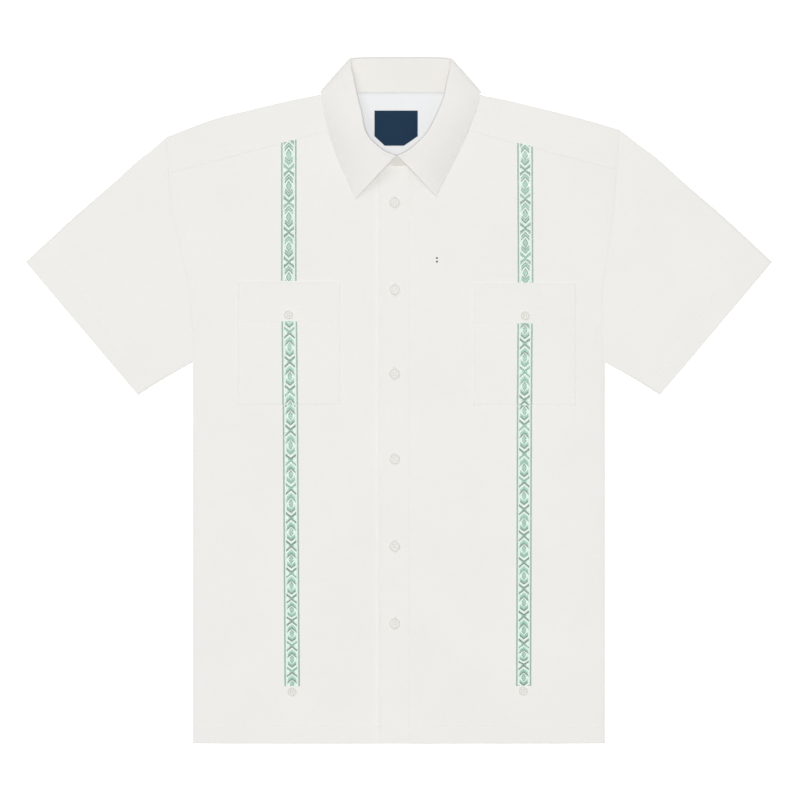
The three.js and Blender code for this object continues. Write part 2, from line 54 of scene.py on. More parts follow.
def linearColour(code):
    # sRGB hex to linear: c/12.92 up to 0.04045, else ((c + 0.055)/1.055)^2.4
    parts = [int(code[k:k + 2], 16) / 255 for k in (1, 3, 5)]
    return tuple(c / 12.92 if c <= 0.04045 else ((c + 0.055) / 1.055) ** 2.4 for c in parts) + (1,)


def addNode(tree, kind, settings={}, links={}):
    made = tree.nodes.new("ShaderNode" + kind)
    for key, value in settings.items():
        if isinstance(key, int) or key in made.inputs:
            made.inputs[key].default_value = value
        else:
            setattr(made, key, value)
    for key, source in links.items():
        tree.links.new(source, made.inputs[key])
    return made


def newMaterial(name):
    material = bpy.data.materials.new(name)
    material.use_nodes = True
    material.node_tree.nodes.clear()
    return material, material.node_tree


def finishMaterial(tree, settings, links):
    shader = addNode(tree, "BsdfPrincipled", settings, links)
    addNode(tree, "OutputMaterial", links={"Surface": shader.outputs[0]})


def linkObject(name, data):
    made = bpy.data.objects.new(name, data)
    scene.collection.objects.link(made)
    return made


lens = bpy.data.cameras.new("camera")
lens.sensor_width = view["sensor"]
lens.lens = view["sensor"] * view["distance"] / view["width"]
lens.clip_end = view["farthest"]
camera = linkObject("camera", lens)
camera.location = (view["middleX"] * mm, view["middleY"] * mm, view["distance"] * mm)
scene.camera = camera
scene.view_settings.view_transform = "Standard"

world = bpy.data.worlds.new("studio")
world.use_nodes = True
sky = world.node_tree.nodes["Background"]
sky.inputs["Color"].default_value = linearColour(studio["skyColour"])
sky.inputs["Strength"].default_value = studio["skyStrength"]
scene.world = world
for name, (x, y, z, size, power) in studio["softboxes"].items():
    softbox = bpy.data.lights.new("softbox_" + name, "AREA")
    softbox.size = size * mm
    softbox.energy = power
    lamp = linkObject("softbox_" + name, softbox)
    lamp.location = (x * mm, y * mm, z * mm)
    lamp.rotation_euler = lamp.location.to_track_quat("Z", "Y").to_euler()

floorMesh = bpy.data.meshes.new("floor")
half, drop = studio["floorSize"] / 2 * mm, studio["floorDrop"] * mm
corners = [(x * half, y * half, -drop) for x, y in ((-1, -1), (1, -1), (1, 1), (-1, 1))]
floorMesh.from_pydata(corners, [], [(0, 1, 2, 3)])
floorPaint, tree = newMaterial("matt white studio paper")
mottle = addNode(tree, "TexNoise", {"Scale": 3.0})
tint = addNode(tree, "Mix", {"data_type": "RGBA", 6: linearColour(studio["floorMottle"]),
                             7: linearColour(studio["floorColour"])}, {0: mottle.outputs["Fac"]})
finishMaterial(tree, {"Roughness": 0.95, "Specular IOR Level": 0.1, "Emission Color": (1, 1, 1, 1),
                      "Emission Strength": studio["floorGlow"]}, {"Base Color": tint.outputs[2]})
floorMesh.materials.append(floorPaint)
linkObject("floor", floorMesh)
print("camera, floor and light are set")

# Materials

waveLength = 0.314  # metres from band to band in a wave texture of scale 1


def clothMaterial(name, light, dark, thread=0.9, slub=1.0, bump=0.35, sheen=0.12):
    # Cotton and linen plain weave, washed and pressed: matt, with thick and thin yarns both ways.
    # Threads are really 0.45 mm apart; they are drawn 0.9 mm apart so that they show.
    material, tree = newMaterial(name)
    grain = addNode(tree, "UVMap", {"uv_map": "grain"}).outputs[0]
    waves = [addNode(tree, "TexWave", {"bands_direction": way, "Scale": waveLength / (thread * mm),
                                       "Distortion": 0.6, "Detail": 1.0, "Detail Scale": 0.4},
                     {"Vector": grain}).outputs["Fac"] for way in "XY"]
    weave = addNode(tree, "Math", {"operation": "MULTIPLY"}, dict(enumerate(waves)))
    # Slubs are 20 to 40 mm long and one or two threads wide.
    slubs = []
    for stretch in ((28, 900, 1), (900, 28, 1)):
        laid = addNode(tree, "Mapping", {"Scale": stretch}, {"Vector": grain})
        slubs.append(addNode(tree, "TexNoise", {"Scale": 1.0, "Detail": 2.0, "Roughness": 0.6},
                             {"Vector": laid.outputs[0]}).outputs["Fac"])
    yarns = addNode(tree, "Math", {"operation": "MULTIPLY"}, dict(enumerate(slubs)))
    cloud = addNode(tree, "TexNoise", {"Scale": 9.0, "Detail": 3.0}, {"Vector": grain})
    uneven = addNode(tree, "Math", {"operation": "MULTIPLY_ADD", 1: 2.2 * slub},
                     {0: yarns.outputs[0], 2: cloud.outputs["Fac"]})
    spread = addNode(tree, "MapRange", {1: 0.6, 2: 1.5}, {0: uneven.outputs[0]})
    colour = addNode(tree, "Mix", {"data_type": "RGBA", 6: linearColour(dark), 7: linearColour(light)},
                     {0: spread.outputs[0]})
    height = addNode(tree, "Math", {"operation": "MULTIPLY_ADD", 1: 1.6 * slub},
                     {0: yarns.outputs[0], 2: weave.outputs[0]})
    relief = addNode(tree, "Bump", {"Strength": bump, "Distance": 0.2 * mm}, {"Height": height.outputs[0]})
    finishMaterial(tree, {"Roughness": 0.88, "Specular IOR Level": 0.25, "Sheen Weight": sheen,
                          "Sheen Roughness": 0.6},
                   {"Base Color": colour.outputs[2], "Normal": relief.outputs[0]})
    return material


def threadMaterial(name, high, low, roughness, gloss):
    # Spun or filament thread: a colour that deepens down the garment, a fine twist and a silky gloss.
    material, tree = newMaterial(name)
    place = addNode(tree, "TexCoord").outputs["Object"]
    parts = addNode(tree, "SeparateXYZ", links={0: place})
    down = addNode(tree, "MapRange", {1: 0.28, 2: -0.3}, {0: parts.outputs[1]})
    deepened = addNode(tree, "Mix", {"data_type": "RGBA", 6: linearColour(high), 7: linearColour(low)},
                       {0: down.outputs[0]})
    fibre = addNode(tree, "TexNoise", {"Scale": 900.0, "Detail": 2.0}, {"Vector": place})
    shade = addNode(tree, "MapRange", {1: 0.3, 2: 0.7, 3: 0.86, 4: 1.06}, {0: fibre.outputs["Fac"]})
    colour = addNode(tree, "VectorMath", {"operation": "SCALE"},
                     {0: deepened.outputs[2], "Scale": shade.outputs[0]})
    # A thread's twist is really 0.3 mm long; it is drawn at 0.6 mm.
    twist = addNode(tree, "TexWave", {"bands_direction": "DIAGONAL", "Scale": waveLength / (0.6 * mm)},
                    {"Vector": place})
    relief = addNode(tree, "Bump", {"Strength": 0.3, "Distance": 0.1 * mm}, {"Height": twist.outputs["Fac"]})
    finishMaterial(tree, {"Roughness": roughness, "Specular IOR Level": gloss},
                   {"Base Color": colour.outputs[0], "Normal": relief.outputs[0]})
    return material


def labelMaterial():
    # Damask polyester label: a close satin ground with fine ribs across, navy.
    material, tree = newMaterial("woven damask label")
    place = addNode(tree, "TexCoord").outputs["Object"]
    # Ribs are really 0.25 mm apart; they are drawn 0.8 mm apart.
    period = waveLength / (0.8 * mm)
    ribs = addNode(tree, "TexWave", {"bands_direction": "Y", "Scale": period, "Distortion": 0.4},
                   {"Vector": place})
    ends = addNode(tree, "TexWave", {"bands_direction": "X", "Scale": period}, {"Vector": place})
    woven = addNode(tree, "Math", {"operation": "MULTIPLY_ADD", 1: 0.5},
                    {0: ends.outputs["Fac"], 2: ribs.outputs["Fac"]}).outputs[0]
    colour = addNode(tree, "Mix", {"data_type": "RGBA", 6: linearColour("#082038"),
                                   7: linearColour("#0F304B")}, {0: woven})
    relief = addNode(tree, "Bump", {"Strength": 0.4, "Distance": 0.1 * mm}, {"Height": woven})
    finishMaterial(tree, {"Roughness": 0.65, "Specular IOR Level": 0.15},
                   {"Base Color": colour.outputs[2], "Normal": relief.outputs[0]})
    return material


def pearlMaterial():
    # Polyester pearl button, cast and tumbled: white with cloudy swirls, glossy under a clear skin.
    material, tree = newMaterial("cast polyester pearl")
    place = addNode(tree, "TexCoord").outputs["Object"]
    swirl = addNode(tree, "TexNoise", {"Scale": 160.0, "Detail": 3.0, "Distortion": 1.8},
                    {"Vector": place}).outputs["Fac"]
    colour = addNode(tree, "Mix", {"data_type": "RGBA", 6: linearColour("#D6D5D0"),
                                   7: linearColour("#E3E2DD")}, {0: swirl})
    polish = addNode(tree, "MapRange", {3: 0.42, 4: 0.55}, {0: swirl})
    finishMaterial(tree, {"IOR": 1.5, "Specular IOR Level": 0.25, "Coat Weight": 0.05, "Coat Roughness": 0.3},
                   {"Base Color": colour.outputs[2], "Roughness": polish.outputs[0]})
    return material


shirting = clothMaterial("plain weave cotton linen", "#EBEAE6", "#E6E5E1", slub=0.6, bump=0.25)
yokeInside = clothMaterial("plain weave cotton linen, inner side", "#EBECED", "#E6E7E8", slub=0.5, bump=0.2)
# The collar cloth is painted a little lighter than the body cloth: painted light that makes up for the shade
# on the sloping leaf.
collarClothLightened = clothMaterial("fused cotton linen collar", "#EDEBE8", "#E7E5E1", slub=0.6, bump=0.2)
# The stand's outer face is painted much lighter than the same cloth on its inner face: painted light that
# makes up for the shade it lies in between the collar points.
standOutsideLightened = clothMaterial("fused cotton linen stand, outer side", "#FAF7F3", "#F5F2ED", slub=0.5, bump=0.2)
standInside = clothMaterial("fused cotton linen stand, inner side", "#EAE8E4", "#E5E3DE", slub=0.5, bump=0.2)
bandGround = clothMaterial("satin ground of the band", "#E3F0E7", "#DDECE3", thread=0.7, slub=0.2, bump=0.2,
                           sheen=0.1)
sewingThread = threadMaterial("spun polyester sewing thread", "#EDEDE8", "#E9E9E4", 0.6, 0.35)
labelThread = threadMaterial("navy polyester thread", "#26466B", "#26466B", 0.55, 0.4)
knotThread = threadMaterial("dark green bar tack thread", "#3E4A48", "#3E4A48", 0.6, 0.3)
# Rayon embroidery thread: filament yarn with a silky gloss, laid side by side in satin stitch.
embroidery = {
    "border": threadMaterial("grey green rayon", "#8C9C95", "#7B9A8E", 0.6, 0.06),
    "deep": threadMaterial("bottle green rayon", "#4C6E60", "#164A37", 0.6, 0.06),
    "dark": threadMaterial("deep green rayon", "#628374", "#1F5843", 0.6, 0.06),
    "mid": threadMaterial("sage green rayon", "#86B09F", "#5DA088", 0.6, 0.06),
    "mint": threadMaterial("mint rayon", "#ABD3C2", "#84C8AC", 0.6, 0.06),
    "white": threadMaterial("white rayon", "#F6FAF8", "#F4FAF6", 0.6, 0.1),
}
labelCloth = labelMaterial()
pearl = pearlMaterial()
print("materials are made")

# Lines and grids

curveCells = 10  # cells between two points of a curved outline
sheets = {}


def smoothStep(x, low, high):
    # From 0 at low to 1 at high: 3 t^2 - 2 t^3
    t = np.clip((x - low) / (high - low), 0, 1)
    return t * t * (3 - 2 * t)


def unit(vectors):
    return vectors / np.maximum(np.linalg.norm(vectors, axis=-1, keepdims=True), 1e-9)


def lineLength(line):
    return np.linalg.norm(np.diff(line, axis=0), axis=1).sum()


def reachAlong(line):
    # How far along a line each of its points lies.
    return np.concatenate([[0], np.cumsum(np.linalg.norm(np.diff(line, axis=0), axis=1))])


def catmullRom(a, b, c, d, t):
    # p = b + ((c - a)t + (2a - 5b + 4c - d)t^2 + (3b - a - 3c + d)t^3) / 2
    return b + ((c - a) * t + (2 * a - 5 * b + 4 * c - d) * t**2 + (3 * b - a - 3 * c + d) * t**3) / 2


def splined(points):
    p = np.asarray(points, float)
    run = np.vstack([2 * p[0] - p[1], p, 2 * p[-1] - p[-2]])[:, None]
    t = np.linspace(0, 1, curveCells, endpoint=False)[None, :, None]
    curve = catmullRom(run[:-3], run[1:-2], run[2:-1], run[3:], t)
    return np.vstack([curve.reshape(-1, p.shape[1]), p[-1]])


def spaced(line, shares, values=None):
    # The points of a line, or values given at its points, at shares of its length.
    line = np.asarray(line, float)
    reach = reachAlong(line)
    columns = line.T if values is None else np.asarray(values, float).T
    return np.stack([np.interp(np.asarray(shares) * reach[-1], reach, column) for column in columns], axis=1)


def stations(length, step, marks=(), stitches=()):
    # Shares of a length, at most a step apart, with one at each mark and five across each row of stitches.
    # A place below nought is measured from the far end.
    across = [at % length + aside for at in stitches for aside in (-1.6, -0.8, 0, 0.8, 1.6)]
    stops = np.unique(np.clip([0, length, *(at % length for at in marks), *across], 0, length))
    runs = [np.linspace(a, b, max(int(np.ceil((b - a) / step)), 1), endpoint=False)
            for a, b in zip(stops[:-1], stops[1:])]
    return np.concatenate(runs + [[length]]) / length


def nearest(shares, at, length):
    # The station at a place, which is measured from the far end if it is below nought.
    return int(np.argmin(np.abs(np.asarray(shares) * length - at % length)))


def coons(low, high, left, right, across, up):
    # p = (1-v) low(u) + v high(u) + (1-u) left(v) + u right(v) - the four corners' share
    low, high = spaced(low, across), spaced(high, across)
    left, right = spaced(left, up)[:, None], spaced(right, up)[:, None]
    u, v = across[None, :, None], up[:, None, None]
    corners = (1 - v) * ((1 - u) * low[0] + u * low[-1]) + v * ((1 - u) * high[0] + u * high[-1])
    return (1 - v) * low + v * high + (1 - u) * left + u * right - corners


def wallFaces(grids):
    # The grids' points, joined where they meet, and their four-cornered cells.
    flat = np.concatenate([grid.reshape(-1, 3) for grid in grids])
    _, first, same = np.unique(np.round(flat, 4), axis=0, return_index=True, return_inverse=True)
    cells, ids, start = [], [], 0
    for rows, columns in (grid.shape[:2] for grid in grids):
        at = same.ravel()[start:start + rows * columns].reshape(rows, columns)
        cells.append(np.stack([at[:-1, :-1], at[:-1, 1:], at[1:, 1:], at[1:, :-1]], axis=-1).reshape(-1, 4))
        ids.append(at)
        start += rows * columns
    return flat[first], np.concatenate(cells), ids, first


def closedWall(grids, above, below):
    # outer = p + n above, inner = p - n below, n the mean normal of the cells round p, rims at open edges
    points, cells, ids, first = wallFaces(grids)
    above, below = (np.concatenate([np.broadcast_to(wide, grid.shape[:2]).ravel() for grid in grids])[first]
                    for wide in (above, below))
    corner = points[cells]
    facing = np.cross(corner[:, 2] - corner[:, 0], corner[:, 3] - corner[:, 1])
    normals = np.zeros_like(points)
    for k in range(4):
        np.add.at(normals, cells[:, k], facing)
    normals = unit(normals)
    outer, inner = points + normals * above[:, None], points - normals * below[:, None]
    count = len(points)
    edges = np.concatenate([cells[:, [k, (k + 1) % 4]] for k in range(4)])
    rim = edges[~np.isin(edges[:, 0] * count + edges[:, 1], edges[:, 1] * count + edges[:, 0])]
    rims = np.stack([rim[:, 1], rim[:, 0], rim[:, 0] + count, rim[:, 1] + count], axis=1)
    faces = np.concatenate([cells, cells[:, ::-1] + count, rims])
    made = {"ids": ids, "first": first, "cells": len(cells),
            "outer": outer, "inner": inner, "normals": normals}
    return np.concatenate([outer, inner]), faces, made


def addPiece(name, points, faces, material, node=None, grain=None, tones=None):
    mesh = bpy.data.meshes.new(name)
    mesh.vertices.add(len(points))
    mesh.vertices.foreach_set("co", (points * mm).astype(np.float32).ravel())
    mesh.loops.add(faces.size)
    mesh.loops.foreach_set("vertex_index", faces.ravel().astype(np.int32))
    mesh.polygons.add(len(faces))
    mesh.polygons.foreach_set("loop_start", np.arange(0, faces.size, faces.shape[1], dtype=np.int32))
    if grain is not None:
        layer = mesh.uv_layers.new(name="grain")
        layer.data.foreach_set("uv", (grain[faces.ravel()] * mm).astype(np.float32).ravel())
    for paint in material if isinstance(material, list) else [material]:
        mesh.materials.append(paint)
    if tones is not None:
        mesh.polygons.foreach_set("material_index", tones.astype(np.int32))
    mesh.update(calc_edges=True)
    mesh.shade_smooth()
    piece = linkObject(name, mesh)
    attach(piece, "root")
    if node:
        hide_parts(node)
    return piece


def turned(plan, angle):
    # Plan coordinates along and across a grain that lies at this angle.
    c, s = np.cos(np.radians(angle)), np.sin(np.radians(angle))
    return np.stack([plan[..., 0] * c + plan[..., 1] * s, plan[..., 1] * c - plan[..., 0] * s], axis=-1)


def clothPiece(name, grids, thickness, material, above=0, below=0, angle=0, grain=None, slot="cloth",
               **sheet):
    # A wall of cloth in place of a node, thicker above or below at a hem, kept with the size it was cut to.
    grids = grids if isinstance(grids, list) else [grids]
    points, faces, made = closedWall(grids, thickness / 2 + above, thickness / 2 + below)
    tones = np.arange(len(faces)) < made["cells"] if isinstance(material, list) else None
    if grain is None:
        grain = turned(points[:, :2], angle)
    else:
        grain = np.tile(grain.reshape(-1, 2)[made["first"]], (2, 1))
    piece = addPiece(name + "_cloth", points, faces, material, name, grain, tones)
    sheets[name] = {"name": name, "piece": piece, "sheet": sheet, **made}
    return sheets[name]


# Threads

# Where each ring of a thread lies along it, from -1 to 1, and its share of the thread's radius
threadShape = ((-1, -0.6, 0.6, 1), (0.35, 1, 1, 0.35))
satinShape = ((-1, 0, 1), (0.5, 1, 0.5))
sewing = {"pitch": 3.4, "length": 2.6, "radius": 0.27, "lift": 0.1}
upward = np.array([0.0, 0.0, 1.0])
seamThreads = {}


def threadMesh(centres, alongs, ups, lengths, radii, shape):
    # Four-sided spindles: p = c + a s L/2 + (side cos q + up sin q) r g(s)
    stretch, girth = (np.array(values)[None, :, None, None] for values in shape)
    angle = np.radians([45, 135, 225, 315])[None, :, None]
    ring = np.cross(ups, alongs)[:, None] * np.cos(angle) + ups[:, None] * np.sin(angle)
    lengths, radii = lengths[:, None, None, None], radii[:, None, None, None]
    points = centres[:, None, None] + alongs[:, None, None] * (stretch * lengths / 2)
    points = points + ring[:, None] * (girth * radii)
    count, k = stretch.shape[1], np.arange(4)
    base, beside = np.arange(count - 1)[:, None] * 4, (k + 1) % 4
    sides = np.stack([base + k, base + beside, base + 4 + beside, base + 4 + k], axis=-1).reshape(-1, 4)
    spindle = np.concatenate([sides, [k[::-1], 4 * count - 4 + k]])
    faces = np.arange(len(centres))[:, None, None] * 4 * count + spindle
    return points.reshape(-1, 3), faces.reshape(-1, 4)


def layStitches(name, centres, alongs, ups, lengths, radius):
    # Keeps stitches until all the sewing on a piece is drawn as one mesh.
    alongs, ups = (np.broadcast_to(ways, centres.shape) for ways in (alongs, ups))
    lengths, radii = (np.broadcast_to(size, len(centres)) for size in (lengths, radius))
    seamThreads.setdefault(name, []).append((centres, alongs, ups, lengths, radii))


def sew(name, line, ups, pitch=sewing["pitch"], length=sewing["length"], radius=sewing["radius"]):
    # Stitches end to end along a line on the cloth, each half sunk in it.
    whole = lineLength(line)
    count = max(int(round(whole / pitch)), 1)
    middles = (np.arange(count) + 0.5) / count
    heads, tails = (spaced(line, np.clip(middles + way * length / 2 / whole, 0, 1)) for way in (1, -1))
    alongs = unit(heads - tails)
    facing = unit(spaced(line, middles, ups))
    facing = unit(facing - alongs * (facing * alongs).sum(axis=1, keepdims=True))
    centres = (heads + tails) / 2 + facing * sewing["lift"]
    layStitches(name, centres, alongs, facing, np.linalg.norm(heads - tails, axis=1), radius)


def sewAlong(made, face="outer", grid=0, row=None, column=None, start=None, end=None, **stitch):
    # Sews along a row or column of a piece's grid, on its outer or inner face.
    ids = made["ids"][grid]
    chosen = (ids[row] if row is not None else ids[:, column])[start:end]
    sew(made["name"], made[face][chosen], made["normals"][chosen] * (1 if face == "outer" else -1), **stitch)


# The cut of the shirt

wall = {"cloth": 0.8, "low": 0.4, "layer": 1.7, "hemExtra": 0.3, "hemFade": (-0.2, 1), "seamDip": 0.28,
        "seamReach": 1.5, "yokeDip": 0.05, "groove": 0.07, "grooveReach": 0.7}
halfWall = wall["cloth"] / 2
body = {"half": 240, "hem": -400, "fullness": 3, "reach": 28, "backNeck": 357.6, "hemDepth": 20,
        "armholeStitch": 7, "yokeStitch": 2.5}
# Armhole, from underarm to shoulder: out and up on the wearer's right, then on the left.
armholeRows = np.array([
    [240, 44, 240, 44], [239.5, 72, 237.2, 72], [242.6, 100, 236.8, 100], [244.5, 130, 238, 130],
    [250.8, 160, 241.5, 160], [257, 190, 246.3, 190], [262.7, 214, 249.3, 214], [266, 238, 251.8, 238],
    [268.6, 264, 253.9, 268], [270, 285, 255.4, 291], [271.4, 306, 256.5, 315]])
backYokeRow, frontYokeRow = 7, 8
armholes = {-1: splined(armholeRows[:, :2]), 1: splined(armholeRows[:, 2:])}
shoulderRows = np.array([[217.9, 326.2], [172.4, 337.9], [123.5, 349.5], [82, 357.5]])
shoulders = {side: splined(np.vstack([armholes[side][-1], shoulderRows])) for side in (-1, 1)}
# The neckline runs in under the foot of the collar stand.
neckline = np.array([[82, 357.5], [80, 345], [78, 330], [73.2, 315.6], [62, 297.6], [49, 286.4], [32, 277.2],
                     [14, 273], [0, 272.8]])
necklineYokeRow = 3
# Behind the neck the back rises over the collar leaf.
nape = {"from": 318, "to": 338, "half": 96, "fade": 130, "rise": 1.5}
# Each trough is its depth and its reach to either side.
placket = {"edge": -24.5, "seam": 14.2, "wall": 1.5, "rise": 0.25, "overlap": 1.4, "underlap": 12.5,
           "fade": 70, "stitch": 3.2, "cells": (2.4, 3.4), "acrossMarks": [0.35, 1, -1, -0.2],
           "upMarks": [0.5, -1], "edgeTrough": (0.5, 2.2), "seamTrough": (0.4, 2.6)}

# Soft troughs and ridges: from x, y to x, y, width, depth, bow.
frontCreases = [
    (-232, 62, -150, 128, 13, -1.2, 6), (-236, 30, -166, 70, 10, 0.8, -5),
    (-228, 118, -168, 190, 12, -0.88, 5), (-222, -60, -196, -250, 14, -1.12, 8),
    (-206, -120, -180, -330, 16, 0.88, -9), (-96, -40, -84, -230, 15, -0.96, 7),
    (-70, -150, -58, -360, 17, 0.96, -6), (-44, 60, -40, -80, 12, -0.72, 4),
    (-60, 210, -46, 90, 14, 0.8, 5), (-108, 262, -64, 206, 12, -0.8, -6),
    (-176, 258, -150, 160, 15, -0.72, 7), (-152, -90, -146, -340, 13, -0.8, -5),
    (232, 58, 158, 122, 12, -1.12, -6), (236, 26, 172, 60, 10, 0.8, 5), (224, 124, 176, 196, 13, -0.8, -5),
    (226, -50, 204, -210, 15, -1.2, -8), (214, -140, 190, -350, 16, 0.96, 8),
    (112, -30, 96, -210, 14, -0.96, -7), (84, -120, 70, -340, 17, 0.96, 7), (52, 70, 46, -70, 13, -0.8, -4),
    (66, 214, 52, 100, 13, 0.8, -5), (112, 256, 70, 204, 12, -0.8, 6), (190, 262, 166, 166, 15, -0.8, -7),
    (168, -100, 164, -330, 13, -0.8, 5), (34, -180, 30, -380, 12, -0.72, 4),
    (-30, 20, -28, 160, 10, 0.48, -3), (26, 40, 24, 190, 10, 0.48, 3), (-212, 300, -150, 318, 12, -0.64, 3),
    (206, 298, 150, 318, 12, -0.64, -3),
]
backCreases = [
    (-180, 160, -60, 60, 16, 1.44, 8), (-150, -40, -110, -300, 18, 1.44, 9),
    (-60, 120, -40, -120, 15, 1.12, -6), (20, 180, 60, 20, 16, 1.28, 7), (90, -60, 120, -330, 18, 1.44, -8),
    (180, 140, 110, 60, 14, 1.12, -6), (-20, -180, 0, -350, 15, 1.12, 5),
    (170, -120, 180, -300, 14, 0.96, 6),
]
sleeveCreases = {
    -1: [
        (-262, 60, -330, 170, 13, -1.28, 8), (-270, 90, -300, 220, 12, 0.96, -6),
        (-300, 44, -390, 130, 14, -0.96, 7), (-330, 200, -400, 168, 12, 0.88, 4),
        (-286, 250, -344, 218, 13, -0.8, -5), (-318, 90, -372, 180, 16, 0.8, 6),
    ],
    1: [
        (262, 62, 332, 168, 13, -1.2, -8), (272, 96, 302, 216, 12, 0.96, 6),
        (302, 46, 388, 132, 14, -1.04, -7), (332, 204, 398, 166, 12, 0.8, -4),
        (290, 252, 346, 214, 13, -0.8, 5), (320, 96, 374, 184, 16, 0.8, -6),
    ],
}


def creaseHeight(table, x, y):
    # Each is depth f(t) exp(-(d / width)^2), d from a line bowed by 4 bow t (1 - t), f = (4 t (1 - t))^0.6
    total = np.zeros(np.shape(x))
    for x0, y0, x1, y1, width, depth, bow in table:
        run = np.hypot(x1 - x0, y1 - y0)
        wayX, wayY = (x1 - x0) / run, (y1 - y0) / run
        along = ((x - x0) * wayX + (y - y0) * wayY) / run
        t = np.clip(along, 0, 1)
        beyond = (along - t) * run
        aside = (y - y0) * wayX - (x - x0) * wayY - 4 * bow * t * (1 - t)
        total += depth * (4 * t * (1 - t)) ** 0.6 * np.exp(-(aside**2 + beyond**2) / width**2)
    return total


def bodyEdge(side, y):
    # How far out the side seam or the armhole lies at a height
    return np.interp(y, armholes[side][:, 1], armholes[side][:, 0])


def lowHeight(x, y):
    # Middle of the layer that lies on the surface.
    across = 1 - smoothStep(np.abs(x), nape["half"], nape["fade"])
    return wall["low"] + nape["rise"] * across * smoothStep(y, nape["from"], nape["to"])


def frontHeight(x, y):
    # One layer up at every edge: h = low + layer + 3 (1 - exp(-side / 28)) (1 - exp(-fold / 28)) + creases
    out = np.abs(x)
    edge = np.where(x < 0, bodyEdge(-1, y), bodyEdge(1, y))
    foldY = [np.interp(out, shoulders[side][::-1, 0], shoulders[side][::-1, 1]) for side in (-1, 1)]
    fromSide = np.maximum(edge - out, 0)
    fromFold = np.maximum(np.where(x < 0, foldY[0], foldY[1]) - y, 0)
    full = (1 - np.exp(-fromSide / body["reach"])) * (1 - np.exp(-fromFold / body["reach"]))
    return lowHeight(x, y) + wall["layer"] + body["fullness"] * full + creaseHeight(frontCreases, x, y) * full


def leftFrontHeight(x, y):
    # The wearer's left front lies over the right one at the centre and comes down beside it.
    return frontHeight(x, y) + placket["overlap"] * (1 - smoothStep(x, placket["seam"], placket["fade"]))


def topHeight(x, y):
    # Middle of whichever front lies on top
    return np.where(x > placket["edge"], leftFrontHeight(x, y), frontHeight(x, y))


def trough(distance, depth, reach):
    # -depth exp(-(distance / reach)^2)
    return -depth * np.exp(-(distance / reach) ** 2)


def dip(distance, depth=wall["seamDip"]):
    # Where a seam pulls the cloth down
    return trough(distance, depth, wall["seamReach"])


def groove(distance, at):
    # Where a row of stitches presses into the cloth
    return trough(distance - at, wall["groove"], wall["grooveReach"])


def hemThickness(distance, depth):
    # Full up to the hem's stitches, and down to nothing just past them
    start, end = wall["hemFade"]
    return wall["hemExtra"] * (1 - smoothStep(distance, depth + start, depth + end))


def sideLine(side, row):
    # The side seam and the armhole up to one of its rows.
    hole = armholes[side][:row * curveCells + 1] * [side, 1]
    return np.vstack([[side * body["half"], body["hem"]], hole])


def yokeSeam(side):
    # On the front, from the armhole to the neckline
    return np.array([armholes[side][frontYokeRow * curveCells], neckline[necklineYokeRow]]) * [side, 1]


# Back

backCut = {"length": 638, "cell": 5, "acrossMarks": [1.5, 3, -3, -1.5], "upMarks": [1.5, -3, -1.5]}
across = stations(2 * body["half"], backCut["cell"], backCut["acrossMarks"])
up = stations(backCut["length"], backCut["cell"], backCut["upMarks"], [body["hemDepth"]])
left, right = sideLine(-1, backYokeRow), sideLine(1, backYokeRow)
plan = coons([left[0], right[0]], [left[-1], right[-1]], left, right, across, up)
height = lowHeight(plan[..., 0], plan[..., 1]) + creaseHeight(backCreases, plan[..., 0], plan[..., 1])
extra = hemThickness(up[:, None] * backCut["length"], body["hemDepth"])
back = clothPiece("back", np.dstack([plan, height]), wall["cloth"], shirting, extra,
                  flat=(0.532, 0.638), area=0.308, held="laid")
sewAlong(back, row=nearest(up, body["hemDepth"], backCut["length"]))
print("back is laid")

# Fronts

frontCut = {"length": 664, "cell": 3.2, "acrossMarks": [0.35, 1, 3, -2, -0.3], "upMarks": [1, -3, -1, -0.35],
            "underarm": (40, 60), "stitchFrom": 46, "sideTrough": (0.85, 2.6)}


def addFront(name, side, centre, heightAt, **sheet):
    # A patch between hem, outer edge, centre and top, laid on the front's height and pressed at its seams
    outer, seam = sideLine(side, frontYokeRow), yokeSeam(side)
    curve = splined(neckline[necklineYokeRow:]) * [side, 1]
    curve = curve[side * (curve[:, 0] - centre) > 0]
    top = np.vstack([seam, curve[1:], [[centre, neckline[-1, 1]]]])
    low = np.array([outer[0], [centre, body["hem"]]])
    inner = np.array([low[1], top[-1]])
    wide, tall, stitch = lineLength(top), frontCut["length"], body["armholeStitch"]
    out = stations(wide, frontCut["cell"], [*frontCut["acrossMarks"], lineLength(seam)], [stitch])
    up = stations(tall, frontCut["cell"], frontCut["upMarks"], [body["hemDepth"]])
    if side < 0:
        plan = coons(low, top, outer, inner, out, up)
    else:
        plan = coons(low[::-1], top[::-1], inner, outer, 1 - out[::-1], up)
        out = out[::-1]
    x, y = plan[..., 0], plan[..., 1]
    fromOuter, fromLow = out[None, :] * wide, up[:, None] * tall
    alongHole = smoothStep(y, *frontCut["underarm"])
    height = heightAt(x, y) + (dip(fromOuter) + groove(fromOuter, stitch)) * alongHole
    height += dip(tall - fromLow, wall["yokeDip"]) + groove(fromLow, body["hemDepth"])
    # Below the armhole the side seam draws the front's edge down onto the back.
    height += trough(fromOuter, *frontCut["sideTrough"]) * (1 - alongHole)
    made = clothPiece(name, np.dstack([plan, height]), wall["cloth"], shirting,
                      hemThickness(fromLow, body["hemDepth"]), held="laid", **sheet)
    column = nearest(out, stitch, wide)
    sewAlong(made, column=column, start=int(np.argmax(y[:, column] > frontCut["stitchFrom"])))
    sewAlong(made, row=nearest(up, body["hemDepth"], tall))


addFront("front_right", -1, placket["underlap"], frontHeight, flat=(0.281, 0.715), area=0.1765,
         rests_on=["back"])
addFront("front_left", 1, placket["seam"], leftFrontHeight, flat=(0.240, 0.715), area=0.1567,
         rests_on=["back", "front_right"])
print("fronts are laid")

# Button placket

